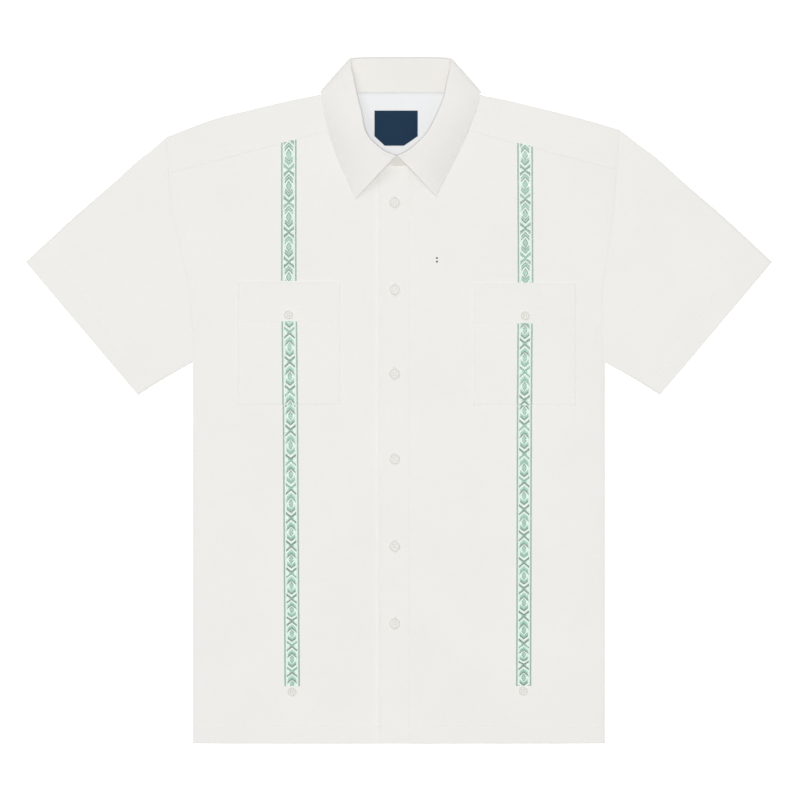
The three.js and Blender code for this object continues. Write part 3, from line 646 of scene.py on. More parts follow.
wide, tall = placket["seam"] - placket["edge"], neckline[-1, 1] - body["hem"]
across = stations(wide, placket["cells"][0], placket["acrossMarks"], [placket["stitch"], -placket["stitch"]])
up = stations(tall, placket["cells"][1], placket["upMarks"], [body["hemDepth"]])
x, y = np.meshgrid(placket["edge"] + across * wide, body["hem"] + up * tall)
height = leftFrontHeight(x, y) + placket["rise"]
for distance, pressed in ((x - placket["edge"], "edgeTrough"), (placket["seam"] - x, "seamTrough")):
    height += groove(distance, placket["stitch"]) + trough(distance, *placket[pressed])
made = clothPiece("placket", np.dstack([x, y, height]), placket["wall"], shirting, flat=(0.0387, 0.67),
                  held="laid", rests_on=["front_right", "front_left"])
for at in (placket["stitch"], -placket["stitch"]):
    sewAlong(made, column=nearest(across, at, wide))
sewAlong(made, row=nearest(up, body["hemDepth"], tall))
print("placket is sewn on")

# Yoke: its back part, folded over each shoulder to the front yoke seam

yokeCut = {"cell": 2.8, "backCell": 3, "frontCell": 2.2, "onFront": 44, "holeStitch": 6, "inset": 1.25,
           "acrossMarks": [0.35, 1, 3, -3, -1, -0.35], "backMarks": [1.6, 3], "frontMarks": [0.35],
           "foldWay": (0.243, 1)}
turnCells = 8
backNeckline = np.array([[-82, 357.6], [-78, 358.6], [-74, 359.2], [74, 359.2], [78, 358.6], [82, 357.6]])


def halfTurn(row, ways, low, high):
    # p = (x + r sin q, low + r (1 - cos q)) with r half the way from the low layer to the high one
    radius = (high - low) / 2
    angle = (np.arange(1, turnCells) * np.pi / turnCells)[:, None]
    plan = row[None] + ways[None] * (radius[None] * np.sin(angle))[..., None]
    return np.dstack([plan, low[None] + radius[None] * (1 - np.cos(angle))])


def yokeSide(side, row, end):
    # The armhole above one of its rows, up to the fold
    return np.vstack([(armholes[side][row * curveCells:] * [side, 1])[:-2], end])


folds = {side: shoulders[side] * [side, 1] - [0, yokeCut["inset"]] for side in (-1, 1)}
high = np.vstack([folds[-1], backNeckline, folds[1][::-1]])
wide = lineLength(high)
neckEnds = [lineLength(folds[-1]), wide - lineLength(folds[1])]
stitch = yokeCut["holeStitch"]
across = stations(wide, yokeCut["cell"], yokeCut["acrossMarks"] + neckEnds, [stitch, -stitch])
left, right = yokeSide(-1, backYokeRow, high[0]), yokeSide(1, backYokeRow, high[-1])
up = stations(lineLength(left), yokeCut["backCell"], yokeCut["backMarks"], [body["yokeStitch"]])
plan = coons([left[0], right[0]], high, left, right, across, up)
grids = [np.dstack([plan, lowHeight(plan[..., 0], plan[..., 1])])]
rise = stations(yokeCut["onFront"], yokeCut["frontCell"], yokeCut["frontMarks"], [body["yokeStitch"]])
fromSeam = rise[:, None] * yokeCut["onFront"]
neckColumns = [nearest(across, at, wide) for at in neckEnds]
chosen = {-1: slice(0, neckColumns[0] + 1), 1: slice(neckColumns[1], None)}
for side in (-1, 1):
    # Each line runs from the wearer's right to the left, which [::-side] sees to.
    fold, seam = plan[-1, chosen[side]], yokeSeam(side)[::-side]
    holeEnd, neckEnd = fold[[0, -1]][::-side]
    neck = (splined(neckline[:necklineYokeRow + 1]) * [side, 1])[::-1][:-2]
    edges = [yokeSide(side, frontYokeRow, holeEnd), np.vstack([neck, neckEnd])][::-side]
    reach = reachAlong(fold)
    strip = coons(seam, fold, *edges, reach / reach[-1], rise)
    x, y = strip[..., 0], strip[..., 1]
    height = frontHeight(x, y) + dip(fromSeam, wall["yokeDip"]) + groove(fromSeam, body["yokeStitch"])
    height += dip(np.abs(x - side * bodyEdge(side, y)))
    ways = np.tile(unit(np.array(yokeCut["foldWay"])) * [side, 1], (len(fold), 1))
    ways[0 if side < 0 else -1] = (0, 1)
    turn = halfTurn(fold, ways, lowHeight(fold[:, 0], fold[:, 1]), height[-1])
    grids.append(np.concatenate([grids[0][-1:, chosen[side]], turn, np.dstack([strip, height])[::-1]]))
yoke = clothPiece("yoke", grids, wall["cloth"], [shirting, yokeInside], flat=(0.543, 0.17), area=0.0722,
                  held="folded", rests_on=["back", "front_right", "front_left"])
for grid in (1, 2):
    sewAlong(yoke, "inner", grid, row=-1 - nearest(rise, body["yokeStitch"], yokeCut["onFront"]))
print("yoke is folded over the shoulders")

# Sleeves: flattened tubes

sleeve = {
    "top": np.array([[287.8, 291], [303, 279.6], [328.5, 256.3], [382, 209.7], [434.5, 160.8]]),
    "under": np.array([[276, 23.3], [304, 5.8]]), "fullness": 3.5, "hemDepth": 25, "inset": 1.25, "cell": 3.2,
    "alongMarks": [1.5, 4, -4, -1.5], "outMarks": [0.35, 1, 3, -1], "creasesFrom": 12, "upperFrom": 1.3,
    "fullFrom": 0.5,
}


def addSleeve(name, side, angle, **sheet):
    # A patch between armhole, cuff, underarm and top, laid twice, with half turns that join its two layers
    hole = armholes[side] * [side, 1]
    top = splined(np.vstack([hole[-1], sleeve["top"] * [side, 1]]))
    under = splined(np.vstack([hole[0], sleeve["under"] * [side, 1]]))
    holeLength, long = lineLength(hole), (lineLength(top) + lineLength(under)) / 2
    along = stations(holeLength, sleeve["cell"], sleeve["alongMarks"])
    out = stations(long, sleeve["cell"], sleeve["outMarks"], [-sleeve["hemDepth"]])
    plan = coons(hole, [under[-1], top[-1]], under, top, along, out)
    underWay, topWay = unit(plan[:, 0] - plan[:, 1]), unit(plan[:, -1] - plan[:, -2])
    plan[:, 0] -= underWay * sleeve["inset"]
    plan[:, -1] -= topWay * sleeve["inset"]
    fromHole = out[:, None] * long
    fromCuff = long - fromHole
    swell = np.sin(np.pi * along)[None, :]
    low = np.full(plan.shape[:2], wall["low"])
    high = low + wall["layer"] + sleeve["fullness"] * smoothStep(out, 0, sleeve["fullFrom"])[:, None] * swell
    high += dip(fromHole)
    creases = creaseHeight(sleeveCreases[side], plan[..., 0], plan[..., 1])
    high += creases * np.sqrt(swell) * smoothStep(fromHole, 0, sleeve["creasesFrom"])
    high += groove(fromCuff, sleeve["hemDepth"])
    lowLayer, highLayer = np.dstack([plan, low]), np.dstack([plan, high])
    topTurn = halfTurn(plan[:, -1], topWay, low[:, -1], high[:, -1]).swapaxes(0, 1)
    underTurn = halfTurn(plan[:, 0], underWay, low[:, 0], high[:, 0]).swapaxes(0, 1)[:, ::-1]
    ring = np.concatenate([lowLayer, topTurn, highLayer[:, ::-1], underTurn, lowLayer[:, :1]], axis=1)
    ring = ring[:, ::-side]
    # The lower layer's hem is turned inwards, so that its underside stays flat.
    extra, upper = hemThickness(fromCuff, sleeve["hemDepth"]), ring[..., 2] > sleeve["upperFrom"]
    made = clothPiece(name, ring, wall["cloth"], shirting, extra * ~upper, extra * upper, angle,
                      held="laid", **sheet)
    first = len(along) + turnCells - 1 if side < 0 else turnCells
    sewAlong(made, "inner", row=nearest(out, -sleeve["hemDepth"], long), start=first, end=first + len(along))


addSleeve("sleeve_right", -1, 42, flat=(0.53, 0.20), area=0.063)
addSleeve("sleeve_left", 1, -42, flat=(0.55, 0.20), area=0.068)
print("sleeves are laid")

# Collar

# From the centre front to the centre back: the stand's seam, the fold at its top, the leaf's edge, the way
# from the stand to the leaf, the fold's radius and the leaf's belly.
collarRows = np.array([
    [14, 272.8, 0.8, 283, 25, 46.6, 236.5, 0, 0, 1, 2, 2],
    [32, 277, 12, 288, 25, 54, 252, 0, 0, 1, 2, 2],
    [49, 286.2, 24, 298, 23.5, 65, 274, 0, 0, 1, 2, 2],
    [62, 297.4, 35, 311, 21.5, 76, 300, 0, 0, 1, 2, 2],
    [72, 311.5, 43, 328, 18.5, 84, 322, 0.1, 0, 1, 2, 2],
    [77.6, 328, 50.7, 349.5, 15, 89.5, 342, 0.2, 0, 1, 2, 2],
    [79.8, 344, 55, 371, 11, 92.3, 355, 0.35, 0.2, 0.9, 2, 1.5],
    [80, 354, 58.3, 389, 7, 93.4, 358.6, 0.75, 0.5, 0.3, 2, 0.8],
    [77, 358.4, 57.3, 396, 3.8, 90, 360.4, 0.5, 0.4, -0.6, 1.5, 0],
    [66, 358.4, 49, 398, 2.4, 78, 353, 0, 0, -1, 0.9, 0],
    [30, 358.4, 27, 398.5, 2.1, 32, 348.5, 0, 0, -1, 0.75, 0],
    [0, 358.4, 0, 398.5, 2.1, 0, 348, 0, 0, -1, 0.75, 0]])
# The skew moves the collar sideways at a height, and openRight moves its right half, which lies a little more
# open and whose point reaches a little lower. The leaf lies on the fronts where its way out points up by more
# than a share.
collar = {
    "skew": ((275, -3.5), (350, 2)), "openRight": ((283, 0), (291, -2.6), (303, -4.2), (315, -3), (335, 0)),
    "tipLower": 2.4, "tipFrom": (236.5, 275), "perRow": 9, "wall": 1.0, "seam": 0.2, "clear": 0.35,
    "stand": 40, "standCell": 2.9, "standMarks": [0.35, -0.35], "standStitch": 2.2, "threadRadius": 0.22,
    "leaf": 50, "leafCell": 2.2, "leafMarks": [-0.35], "leafLow": 0.6, "leafTurn": 2.4, "turnCells": 10,
    "stitch": 6, "cornerRows": 3, "behind": (-1, 0.8), "edgeShare": 0.9, "leafShare": 0.85, "grainColumn": -8,
}
# The stand's buttoned ends run on level along the neckline, one over the other.
standEnds = {"over": -22, "under": 11, "seam": 272.6, "topX": 0.75, "topY": 281, "topZ": 21, "apart": 1.7,
             "cells": 10}


def eased(rows, at):
    # A curve through the rows, kept between its two neighbours
    base = np.minimum(at.astype(int), len(rows) - 2)
    a, b, c, d = (rows[np.clip(base + k, 0, len(rows) - 1)] for k in (-1, 0, 1, 2))
    return np.clip(catmullRom(a, b, c, d, (at - base)[:, None]), np.minimum(b, c), np.maximum(b, c))


def collarStations():
    # The rows of the table, eased, from the centre front round by the wearer's right and back by the left
    last = len(collarRows) - 1
    half = eased(collarRows, np.linspace(0, last, last * collar["perRow"] + 1))
    halves = []
    for side in (-1, 1):
        sx, sy, fx, fy, fz, ex, ey, wx, wy, wz, radius, belly = half.T
        fx, wx = side * fx + np.interp(fy, *zip(*collar["skew"])), side * wx
        if side < 0:
            fx = fx + np.interp(fy, *zip(*collar["openRight"]))
            ey = ey - collar["tipLower"] * (1 - smoothStep(ey, *collar["tipFrom"]))
        ex = side * ex + np.interp(ey, *zip(*collar["skew"]))
        halves.append(np.column_stack([side * sx, sy, fx, fy, fz, ex, ey, wx, wy, wz, radius, belly]))
    return np.vstack([halves[0], halves[1][:-1][::-1]])


def seamHeight(seam):
    # On the fronts, and behind the neck on the back.
    x, y = seam.T
    start, end = collar["behind"]
    behind = smoothStep(y, body["backNeck"] + start, body["backNeck"] + end)
    return topHeight(x, y) * (1 - behind) + lowHeight(x, y) * behind


def buttonedEnd(at, end, lower):
    # From the collar's first or last station on to the stand's end
    shares = np.linspace(0, 1, standEnds["cells"] + 1)[1:, None]
    seam = seamXY[at] + ([end, 0] - seamXY[at]) * shares
    seam[:, 1] = standEnds["seam"]
    top = [end * standEnds["topX"], standEnds["topY"], standEnds["topZ"] - lower]
    return seam, foldPoint[at] + (top - foldPoint[at]) * shares, np.full(len(shares), lower)


def leafFloor(x, y):
    # The lowest that the leaf's middle may lie on the fronts
    return topHeight(x, y) + halfWall + collar["clear"] + collar["wall"] / 2


ring = collarStations()
seamXY, foldPoint, edgeXY, ways = ring[:, :2], ring[:, 2:5], ring[:, 5:7], ring[:, 7:10]
radius, belly = ring[:, 10], ring[:, 11]

underEnd = [part[::-1] for part in buttonedEnd(0, standEnds["under"], standEnds["apart"])]
overEnd = buttonedEnd(-1, standEnds["over"], 0)
middle = (seamXY, foldPoint, np.zeros(len(ring)))
standSeam, standFold, standDrop = (np.concatenate(parts) for parts in zip(underEnd, middle, overEnd))
low = np.column_stack([standSeam, seamHeight(standSeam) - standDrop])
high = standFold - unit(standFold - low) * collar["seam"] / 2
tall, stitch = collar["stand"], collar["standStitch"]
up = stations(tall, collar["standCell"], collar["standMarks"], [stitch, -stitch])
grain = np.stack(np.broadcast_arrays(reachAlong((low + high) / 2)[:, None],
                                     np.linalg.norm(high - low, axis=1)[:, None] * up), axis=-1)
# The outer face takes the stand cloth that is painted lighter, as painted light against the shade there.
stand = clothPiece("collar_stand", low[:, None] + (high - low)[:, None] * up[None, :, None], collar["wall"],
                   [standInside, standOutsideLightened], grain=grain, flat=(0.45, 0.042), area=0.0138, held="laid",
                   rests_on=["yoke", "front_left"])
for at in (stitch, -stitch):
    for face in ("outer", "inner"):
        sewAlong(stand, face, column=nearest(up, at, tall), radius=collar["threadRadius"])

# The leaf turns over the fold in half a circle and falls to its edge, over the fronts or behind the neck.
upWay = unit(foldPoint - np.column_stack([seamXY, seamHeight(seamXY)]))
outWay = unit(ways - upWay * (ways * upWay).sum(axis=1, keepdims=True))
start = foldPoint + upWay * collar["seam"] / 2
angle = np.linspace(0, np.pi, collar["turnCells"] + 1)[None, :, None]
r = radius[:, None, None]
turn = start[:, None] + upWay[:, None] * r * np.sin(angle) + outWay[:, None] * r * (1 - np.cos(angle))
floor = leafFloor(edgeXY[:, 0], edgeXY[:, 1])
edgeZ = collar["leafTurn"] + (floor - collar["leafTurn"]) * smoothStep(ways[:, 2], 0, collar["edgeShare"])
edge = np.column_stack([edgeXY, np.where(ways[:, 2] < 0, collar["leafLow"], edgeZ)])
down = stations(collar["leaf"], collar["leafCell"], collar["leafMarks"], [-collar["stitch"]])[1:]
fall = turn[:, -1:] + (edge[:, None] - turn[:, -1:]) * down[None, :, None]
fall += outWay[:, None] * (belly[:, None] * np.sin(np.pi * down))[..., None]
onFronts = ways[:, 2:3] > collar["leafShare"]
floor = np.where(onFronts, leafFloor(fall[..., 0], fall[..., 1]), collar["leafLow"])
fall[..., 2] = np.maximum(fall[..., 2], floor)
leafGrid = np.concatenate([turn, fall], axis=1)
along = reachAlong(leafGrid[:, collar["grainColumn"]])
grain = np.stack(np.broadcast_arrays(along[:, None], [reachAlong(row) for row in leafGrid]), axis=-1)
leaf = clothPiece("collar_leaf", leafGrid, collar["wall"], collarClothLightened, grain=grain, flat=(0.5, 0.065),
                  area=0.022, held="folded", rests_on=["collar_stand", "front_right", "front_left"])
column = collar["turnCells"] + 1 + nearest(down, -collar["stitch"], collar["leaf"])
inset = collar["cornerRows"]
sewAlong(leaf, "inner", column=column, start=inset, end=-inset)
for row in (inset, -1 - inset):
    sewAlong(leaf, "inner", row=row, start=collar["turnCells"] + 1, end=column)
print("collar is turned down")

# Pockets

pocket = {"cell": 2.8, "puff": 0.45, "reach": 9, "stitch": 2.2, "mouthHem": 45.5, "hemShare": 0.8,
          "wall": 0.8, "pressed": (0.3, 1.2), "acrossMarks": [0.3, -0.3], "upMarks": [0.3, -0.4]}
pocketBoxes = {"pocket_right": (-188, -68, -6, 137), "pocket_left": (86, 206, -6, 135.5)}


def pocketLift(name, x, y):
    # Middle of the pocket over the front: sewn down round three sides, standing off a little inside them.
    left, right, low, _ = pocketBoxes[name]
    fromSewn = np.maximum(np.minimum(np.minimum(x - left, right - x), y - low), 0)
    return halfWall + pocket["wall"] / 2 + pocket["puff"] * (1 - np.exp(-fromSewn / pocket["reach"]))


def hostTop(host, x, y):
    # The top of the pocket or front that something is sewn to.
    lift = pocketLift(host, x, y) + pocket["wall"] / 2 if host in pocketBoxes else 0
    return topHeight(x, y) + halfWall + lift


for name, (left, right, low, high) in pocketBoxes.items():
    wide, tall, stitch, hem = right - left, high - low, pocket["stitch"], pocket["mouthHem"]
    across = stations(wide, pocket["cell"], pocket["acrossMarks"], [stitch, -stitch])
    up = stations(tall, pocket["cell"], pocket["upMarks"], [stitch, -hem])
    x, y = np.meshgrid(left + across * wide, low + up * tall)
    height = topHeight(x, y) + pocketLift(name, x, y) + groove(high - y, hem)
    for distance in (x - left, right - x, y - low):
        height += groove(distance, stitch) + trough(distance, *pocket["pressed"])
    made = clothPiece(name, np.dstack([x, y, height]), pocket["wall"], shirting,
                      hemThickness(high - y, hem) * pocket["hemShare"], flat=(0.12, tall * mm), held="laid",
                      rests_on=["front_right" if left < 0 else "front_left"])
    lowRow = nearest(up, stitch, tall)
    for at in (stitch, -stitch):
        sewAlong(made, column=nearest(across, at, wide), start=lowRow)
    sewAlong(made, row=lowRow, start=2, end=-2)
    sewAlong(made, row=nearest(up, -hem, tall), start=4, end=-4)
print("pockets are sewn on")

# Embroidered bands

band = {"width": 19.8, "ground": 18.6, "wall": 0.35, "cells": (3, 4), "acrossMarks": [0.3, -0.3],
        "upMarks": [0.4, -0.4], "spacing": 0.6, "radius": 0.29, "raise": 0.14, "tails": 0.15, "margin": 0.2,
        "shortest": 0.5, "slack": 0.01, "border": 1.75, "borderRaise": 0.06, "borderEnds": (0.4, 0.3)}
# Where the crossings of the X motif lie, with one beyond each end.
bands = {
    "band_upper_right": dict(topX=-128.2, footX=-128.2, borderAt=8.1, high=301.5, low=138.6, slant=2.4,
                             host="front_right", crossings=(304.8, 267.6, 230.3, 195.3, 160.4, 125.4)),
    "band_pocket_right": dict(topX=-127.6, footX=-126.6, borderAt=8.25, high=92, low=-5.9, slant=0,
                              host="pocket_right", crossings=(112.3, 78.6, 44.8, 11, -22.8)),
    "band_lower_right": dict(topX=-126.4, footX=-124.3, borderAt=8.1, high=-6.1, low=-333, slant=0,
                             host="front_right",
                             crossings=(-1, -35.1, -69.4, -103.2, -137, -169.6, -201, -231.3, -257, -286.1,
                                        -316.4, -345.5)),
    "band_upper_left": dict(topX=146.7, footX=147.3, borderAt=8.2, high=297.5, low=136.6, slant=-2.4,
                            host="front_left", crossings=(301.3, 267.6, 233.8, 200, 165, 130.1)),
    "band_pocket_left": dict(topX=146.7, footX=146, borderAt=7.95, high=89.4, low=-5.9, slant=0,
                             host="pocket_left", crossings=(98.4, 65.7, 33.1, -0.7, -33.3)),
    "band_lower_left": dict(topX=146, footX=145.1, borderAt=7.95, high=-6.1, low=-333, slant=0,
                            host="front_left",
                            crossings=(4, -29.2, -62.4, -95, -127.7, -157.9, -188.8, -219.7, -251.1, -283.8,
                                       -308.2, -337.4)),
}
# One repeat, from one crossing down to the next. Each row is a slanted bar of upright stitches, mirrored
# about the middle: its tone, from u in mm and v as a share of the repeat, to u and v, and its height there.
bandCharts = {
    # Thin nested lines above the pockets
    "fine": [
        ("dark", 0.3, 0.015, 5.8, 0.128, 0.05, 0.075), ("dark", 0.3, 0.988, 5.8, 0.872, 0.05, 0.075),
        ("mid", 0.3, 0.052, 5.8, 0.188, 0.035, 0.055), ("mid", 0.3, 0.948, 5.8, 0.812, 0.035, 0.055),
        ("white", 3.3, 0.0, 5.8, 0.0, 0.02, 0.14),
        ("white", 0.3, 0.1, 5.8, 0.247, 0.055, 0.055), ("white", 0.3, 0.89, 5.8, 0.75, 0.06, 0.055),
        ("dark", 0.3, 0.15, 5.0, 0.288, 0.042, 0.036), ("mint", 0.3, 0.195, 4.8, 0.33, 0.05, 0.045),
        ("dark", 0.3, 0.25, 4.6, 0.385, 0.058, 0.055), ("white", 0.3, 0.302, 4.2, 0.432, 0.04, 0.03),
        ("dark", 0.3, 0.365, 2.7, 0.49, 0.055, 0.065), ("dark", 0.3, 0.63, 2.7, 0.51, 0.055, 0.06),
        ("mint", 0.3, 0.498, 1.8, 0.5, 0.2, 0.05), ("white", 3.3, 0.5, 5.8, 0.5, 0.04, 0.13),
        ("white", 0.3, 0.668, 3.4, 0.555, 0.022, 0.03),
        ("dark", 0.3, 0.7, 4.4, 0.585, 0.042, 0.04), ("mint", 0.3, 0.745, 4.6, 0.627, 0.05, 0.045),
        ("dark", 0.3, 0.797, 4.6, 0.675, 0.055, 0.055), ("mid", 0.3, 0.84, 4.8, 0.711, 0.028, 0.02),
    ],
    # Broad chevrons, each dark along its lower edge, round a pale diamond, on the pockets and below them
    "bold": [
        ("dark", 0.3, 0.034, 5.8, 0.178, 0.08, 0.082), ("dark", 0.3, 0.972, 5.8, 0.845, 0.078, 0.098),
        ("mint", 1.5, 0.005, 3.0, 0.01, 0.03, 0.085), ("white", 3.6, 0.012, 5.8, 0.014, 0.09, 0.2),
        ("white", 0.3, 0.11, 5.8, 0.262, 0.066, 0.07), ("white", 0.3, 0.885, 5.8, 0.757, 0.085, 0.07),
        ("mint", 0.3, 0.187, 4.9, 0.318, 0.078, 0.065), ("mid", 0.3, 0.245, 4.8, 0.37, 0.04, 0.04),
        ("dark", 0.3, 0.293, 4.7, 0.42, 0.062, 0.066), ("white", 0.3, 0.341, 2.4, 0.43, 0.03, 0.08),
        ("dark", 0.3, 0.378, 2.4, 0.49, 0.042, 0.055), ("dark", 0.3, 0.636, 2.4, 0.532, 0.044, 0.055),
        ("mint", 0.3, 0.507, 1.7, 0.511, 0.215, 0.075), ("white", 3.0, 0.505, 4.9, 0.52, 0.12, 0.08),
        ("white", 0.3, 0.67, 2.4, 0.59, 0.026, 0.07), ("mid", 5.4, 0.44, 5.9, 0.44, 0.1, 0.12),
        ("mint", 0.3, 0.712, 4.8, 0.606, 0.06, 0.055), ("mid", 0.3, 0.758, 4.8, 0.652, 0.034, 0.036),
        ("dark", 0.3, 0.807, 4.7, 0.7, 0.062, 0.064),
    ],
}
toneNames = list(embroidery)
# The embroiderer's dark spools differ a little, so some strokes come out deeper or paler than the chart.
spools = np.random.default_rng(7)
spoolTones, spoolShares = ["deep", "dark", "mid"], [0.35, 0.45, 0.2]


def addBand(name, topX, footX, borderAt, high, low, slant, host, crossings):
    # A ribbon of satin ground, covered with the stitches of its chart and a border at each edge
    tall, step = high - low, band["spacing"]

    def topAt(u):
        return high + slant * 2 * u / band["width"]

    def place(u, y, lift):
        # Points beside the band's middle, a lift above the cloth that it is sewn to.
        x = footX + (topX - footX) * (y - low) / tall + u
        return np.stack([x, y, hostTop(host, x, y) + lift], axis=-1)

    def stitches(u, y, length, upright, tone):
        return np.column_stack(np.broadcast_arrays(u, y, length, upright, toneNames.index(tone)))

    across = stations(band["ground"], band["cells"][0], band["acrossMarks"])
    up = stations(tall, band["cells"][1], band["upMarks"])
    u, share = np.meshgrid((across - 0.5) * band["ground"], up)
    ground = place(u, low + share * (topAt(u) - low), band["wall"] / 2)
    made = clothPiece(name, ground, band["wall"], bandGround, slot="embroidery",
                      flat=(band["ground"] * mm, tall * mm), held="laid", rests_on=[host])
    rows = []
    for upper, lower in zip(crossings[:-1], crossings[1:]):
        pitch = upper - lower
        for tone, u0, v0, u1, v1, h0, h1 in bandCharts["fine" if "upper" in name else "bold"]:
            if tone == "dark":
                tone = str(spools.choice(spoolTones, p=spoolShares))
            u = np.arange(u0, u1 + band["slack"], step)
            share = (u - u0) / (u1 - u0)
            y, length = upper - pitch * (v0 + (v1 - v0) * share), pitch * (h0 + (h1 - h0) * share)
            rows += [stitches(side * u, y, length, 1, tone) for side in (-1, 1)]
    for at in (-borderAt, borderAt):
        y = np.arange(low + band["borderEnds"][0], topAt(at) - band["borderEnds"][1], step)
        rows.append(stitches(at, y, band["border"], 0, "border"))
    u, y, length, upright, tones = np.vstack(rows).T
    # Upright stitches are cut short at the band's ends
    head = np.where(upright, np.minimum(y + length / 2, topAt(u) - band["margin"]), y + length / 2)
    tail = np.where(upright, np.maximum(y - length / 2, low + band["margin"]), y - length / 2)
    keep = head - tail > band["shortest"]
    u, upright, tones = u[keep], upright[keep] > 0, tones[keep]
    y, length = (head + tail)[keep] / 2, (head - tail)[keep]
    centres = place(u, y, band["wall"] + band["raise"] + np.where(upright, 0, band["borderRaise"]))
    alongs = np.where(upright[:, None], [[0.0, 1.0, 0.0]], [[1.0, 0.0, 0.0]])
    ups, radii = np.broadcast_to(upward, centres.shape), np.full(len(u), band["radius"])
    points, faces = threadMesh(centres, alongs, ups, length + band["tails"], radii, satinShape)
    made["satin"] = addPiece(name + "_satin_stitch", points, faces, list(embroidery.values()),
                             tones=np.repeat(tones, len(faces) // len(u)))


for name, spec in bands.items():
    addBand(name, **spec)
print("bands are embroidered")

# Neck label

label = {"left": -28.5, "right": 21.8, "low": 296.2, "high": 337, "cutLeft": 12, "cutRight": 16,
         "cutHeight": 11, "tall": 40, "wall": 0.7, "clear": 0.1, "belly": 0.25, "cell": 1.6, "stitch": 1.6,
         "upMarks": [0.6, -0.6], "sewing": {"pitch": 2.4, "length": 1.8, "radius": 0.2}}
corner = label["low"] + label["cutHeight"]
low = np.array([[label["left"], corner], [label["left"] + label["cutLeft"], label["low"]],
                [label["right"] - label["cutRight"], label["low"]], [label["right"], corner]])
across = stations(lineLength(low), label["cell"], [lineLength(low[:2]), lineLength(low[:3])])
lowLine = spaced(low, across)
high = np.column_stack([lowLine[:, 0], np.full(len(across), label["high"])])
up = stations(label["tall"], label["cell"], label["upMarks"], [label["stitch"], -label["stitch"]])
plan = coons(low, high, [low[0], high[0]], [low[-1], high[-1]], across, up)
height = lowHeight(plan[..., 0], plan[..., 1]) + halfWall + label["clear"] + label["wall"] / 2
height += label["belly"] * np.sin(np.pi * up)[:, None] * np.sin(np.pi * across)
made = clothPiece("label", np.dstack([plan, height]), label["wall"], labelCloth, slot="label",
                  flat=(0.0503, 0.0408), area=0.0019, held="laid", rests_on=["yoke"])
for at in (label["stitch"], -label["stitch"]):
    sewAlong(made, row=nearest(up, at, label["tall"]), start=1, end=-1, **label["sewing"])
for column in (1, -2):
    sewAlong(made, column=column, start=2, end=-2, **label["sewing"])
print("label is sewn in")

# Buttons

button = {"height": 2.4, "clear": 0.05, "hole": (0.5625, 0.8625), "holeDepth": 1.3, "holeAt": 0.24,
          "rings": (14, 30), "dishFrom": 0.68, "spokes": 64}
# The turned profile: out by a share of the radius and so many mm, up by a share of the height and so many mm.
# It has a flat foot, a rounded side, a raised rim and a dished middle.
buttonProfile = np.array([
    [0, 0.15, 0, 0], [1, -0.6, 0, 0], [1, -0.15, 0, 0.25], [1, 0, 0, 0.8], [1, 0, 1, -0.6],
    [1, -0.2, 1, -0.2], [1, -0.6, 1, 0], [1, -1.1, 1, -0.05], [0.72, 0, 1, -0.5], [0.62, 0, 1, -0.6],
    [0, 0.15, 1, -0.65]])
# The bars of thread lie in pairs, one long stitch each, and dip into the holes at their ends.
buttonBars = {"apart": 0.22, "foot": 0.75, "crown": 0.28, "share": 2.3, "pitchShare": 4, "radius": 0.26}
placketButtons = {"radius": 6, "x": -5, "heights": (229.5, 128.2, 30.3, -68.7, -170.1, -259.8)}
trimButtons = {"pocket_button_right": (-128.7, 99, "pocket_right"),
               "pocket_button_left": (146.8, 98, "pocket_left"),
               "hem_button_right": (-124.7, -339.6, "front_right"),
               "hem_button_left": (144.5, -338.8, "front_left")}
trimRadius = 5


def addButton(name, radius, x, y, base):
    # The profile z(r) turned about the button's middle, with four holes sunk in its dish
    top, spokes = button["height"], button["spokes"]
    outShare, outBy, upShare, upBy = buttonProfile.T
    profile = np.column_stack([outShare * radius + outBy, upShare * top + upBy])
    # More stations where the holes are
    share, rings = button["dishFrom"], button["rings"]
    run = spaced(profile, np.concatenate([np.linspace(0, share, rings[0], endpoint=False),
                                          np.linspace(share, 1, rings[1])]))
    angle = np.linspace(0, 2 * np.pi, spokes, endpoint=False)
    px, py = run[:, :1] * np.cos(angle), run[:, :1] * np.sin(angle)
    pz = np.broadcast_to(run[:, 1:], px.shape)
    apart = button["holeAt"] * radius
    away = np.hypot(np.abs(px) - apart, np.abs(py) - apart)
    sunk = 1 - smoothStep(away, *button["hole"])
    pz = pz - np.where(pz > top / 2, sunk * button["holeDepth"], 0)
    points = np.dstack([px + x, py + y, pz + base + button["clear"]])
    ids = np.arange(px.size).reshape(px.shape)
    beside = np.roll(ids, -1, axis=1)
    faces = np.stack([ids[:-1], beside[:-1], beside[1:], ids[1:]], axis=-1).reshape(-1, 4)
    # Two small discs at the axis close the foot and the dish.
    k = np.arange(0, spokes, 2)
    fan = np.stack([k, (k + 1) % spokes, (k + 2) % spokes], axis=1)
    foot, crown = (np.column_stack([np.full(len(k), ids.size + end), ring[turn]])
                   for end, ring, turn in ((0, ids[0], fan[:, ::-1]), (1, ids[-1], fan)))
    allPoints = np.vstack([points.reshape(-1, 3), points[0].mean(axis=0), points[-1].mean(axis=0)])
    addPiece(name + "_pearl", allPoints, np.concatenate([faces, foot, crown]), pearl, name)
    foot, crown = base + top - buttonBars["foot"], base + top - buttonBars["crown"]
    length = buttonBars["share"] * apart
    for barY in (y + way * apart + aside * buttonBars["apart"] for aside in (-1, 1) for way in (-1, 1)):
        line = np.array([[x - apart, barY, foot], [x, barY, crown], [x + apart, barY, foot]])
        sew("buttons", line, np.tile(upward, (3, 1)), buttonBars["pitchShare"] * length, length,
            buttonBars["radius"])


def placketTop(x, y):
    # Upper face of the placket
    return leftFrontHeight(x, y) + placket["rise"] + placket["wall"] / 2


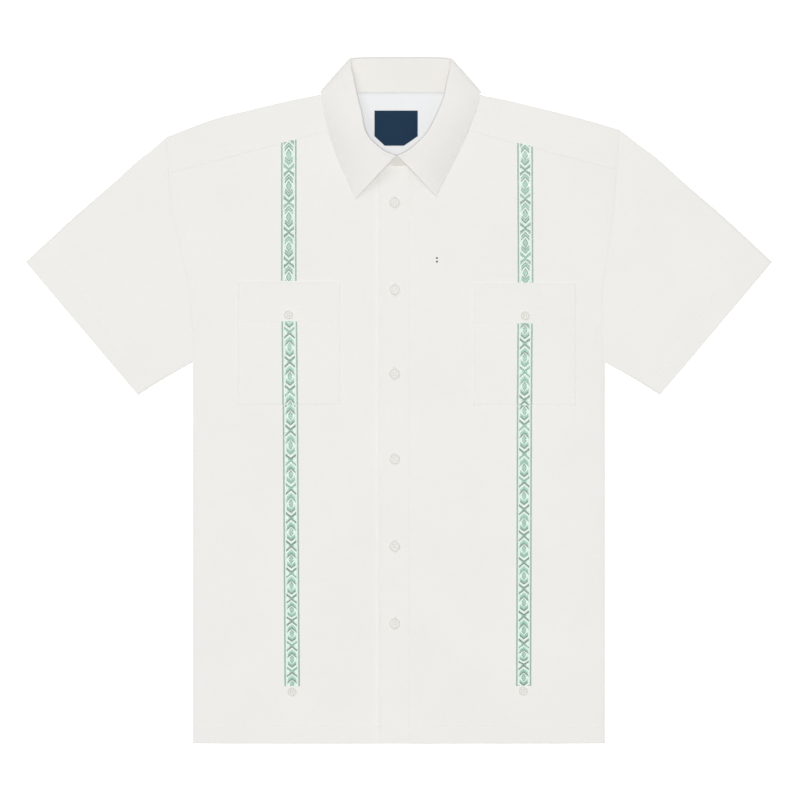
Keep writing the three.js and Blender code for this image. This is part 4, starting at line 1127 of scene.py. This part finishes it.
x = placketButtons["x"]
for number, y in enumerate(placketButtons["heights"], 1):
    addButton(f"placket_button_{number}", placketButtons["radius"], x, y, float(placketTop(x, y)))
for name, (x, y, host) in trimButtons.items():
    addButton(name, trimRadius, x, y, float(hostTop(host, np.array(x), np.array(y))))


def stitchRow(name, x, y, heightAt, lift, along, length, radius):
    # Stitches side by side on the cloth, all lying the same way.
    x, y = np.broadcast_arrays(x, y)
    layStitches(name, np.column_stack([x, y, heightAt(x, y) + lift]), along, upward, length, radius)


# Buttonholes: an upright slit between two dense rows of stitches, bar tacked at both ends.
buttonhole = {"length": 15, "apart": 1.15, "stitch": 1.5, "lift": 0.1, "spacing": 0.55, "radius": 0.26,
              "tack": (-1.6, 1.7), "tackStitch": 1.4, "tackLift": 0.14}
x, half, radius = placketButtons["x"], buttonhole["length"] / 2, buttonhole["radius"]
for y in placketButtons["heights"]:
    for side in (-1, 1):
        rowY = y + np.arange(-half, half, buttonhole["spacing"])
        stitchRow("buttonholes", x + side * buttonhole["apart"], rowY, placketTop, buttonhole["lift"],
                  (1, 0, 0), buttonhole["stitch"], radius)
    for end in (-half, half):
        tackX = x + np.arange(*buttonhole["tack"], buttonhole["spacing"])
        stitchRow("buttonholes", tackX, y + end, placketTop, buttonhole["tackLift"],
                  (0, 1, 0), buttonhole["tackStitch"], radius)

# Two small dark knots on the wearer's left front
knots = {"x": 44.2, "heights": (165.2, 161), "aside": 0.8, "stitches": 5, "length": 2, "radius": 0.3,
         "lift": 0.15}
x = knots["x"] + np.linspace(-knots["aside"], knots["aside"], knots["stitches"])
for y in knots["heights"]:
    stitchRow("front_knots", x, y, topHeight, halfWall + knots["lift"], (0, 1, 0), knots["length"],
              knots["radius"])
print("buttons are sewn on")

# All sewing, one mesh for each piece that carries it

threadPaints = {"label": labelThread, "front_knots": knotThread}
for name, runs in seamThreads.items():
    points, faces = threadMesh(*(np.concatenate(part) for part in zip(*runs)), threadShape)
    addPiece("thread_" + name, points, faces, threadPaints.get(name, sewingThread))
print("sewing is drawn")
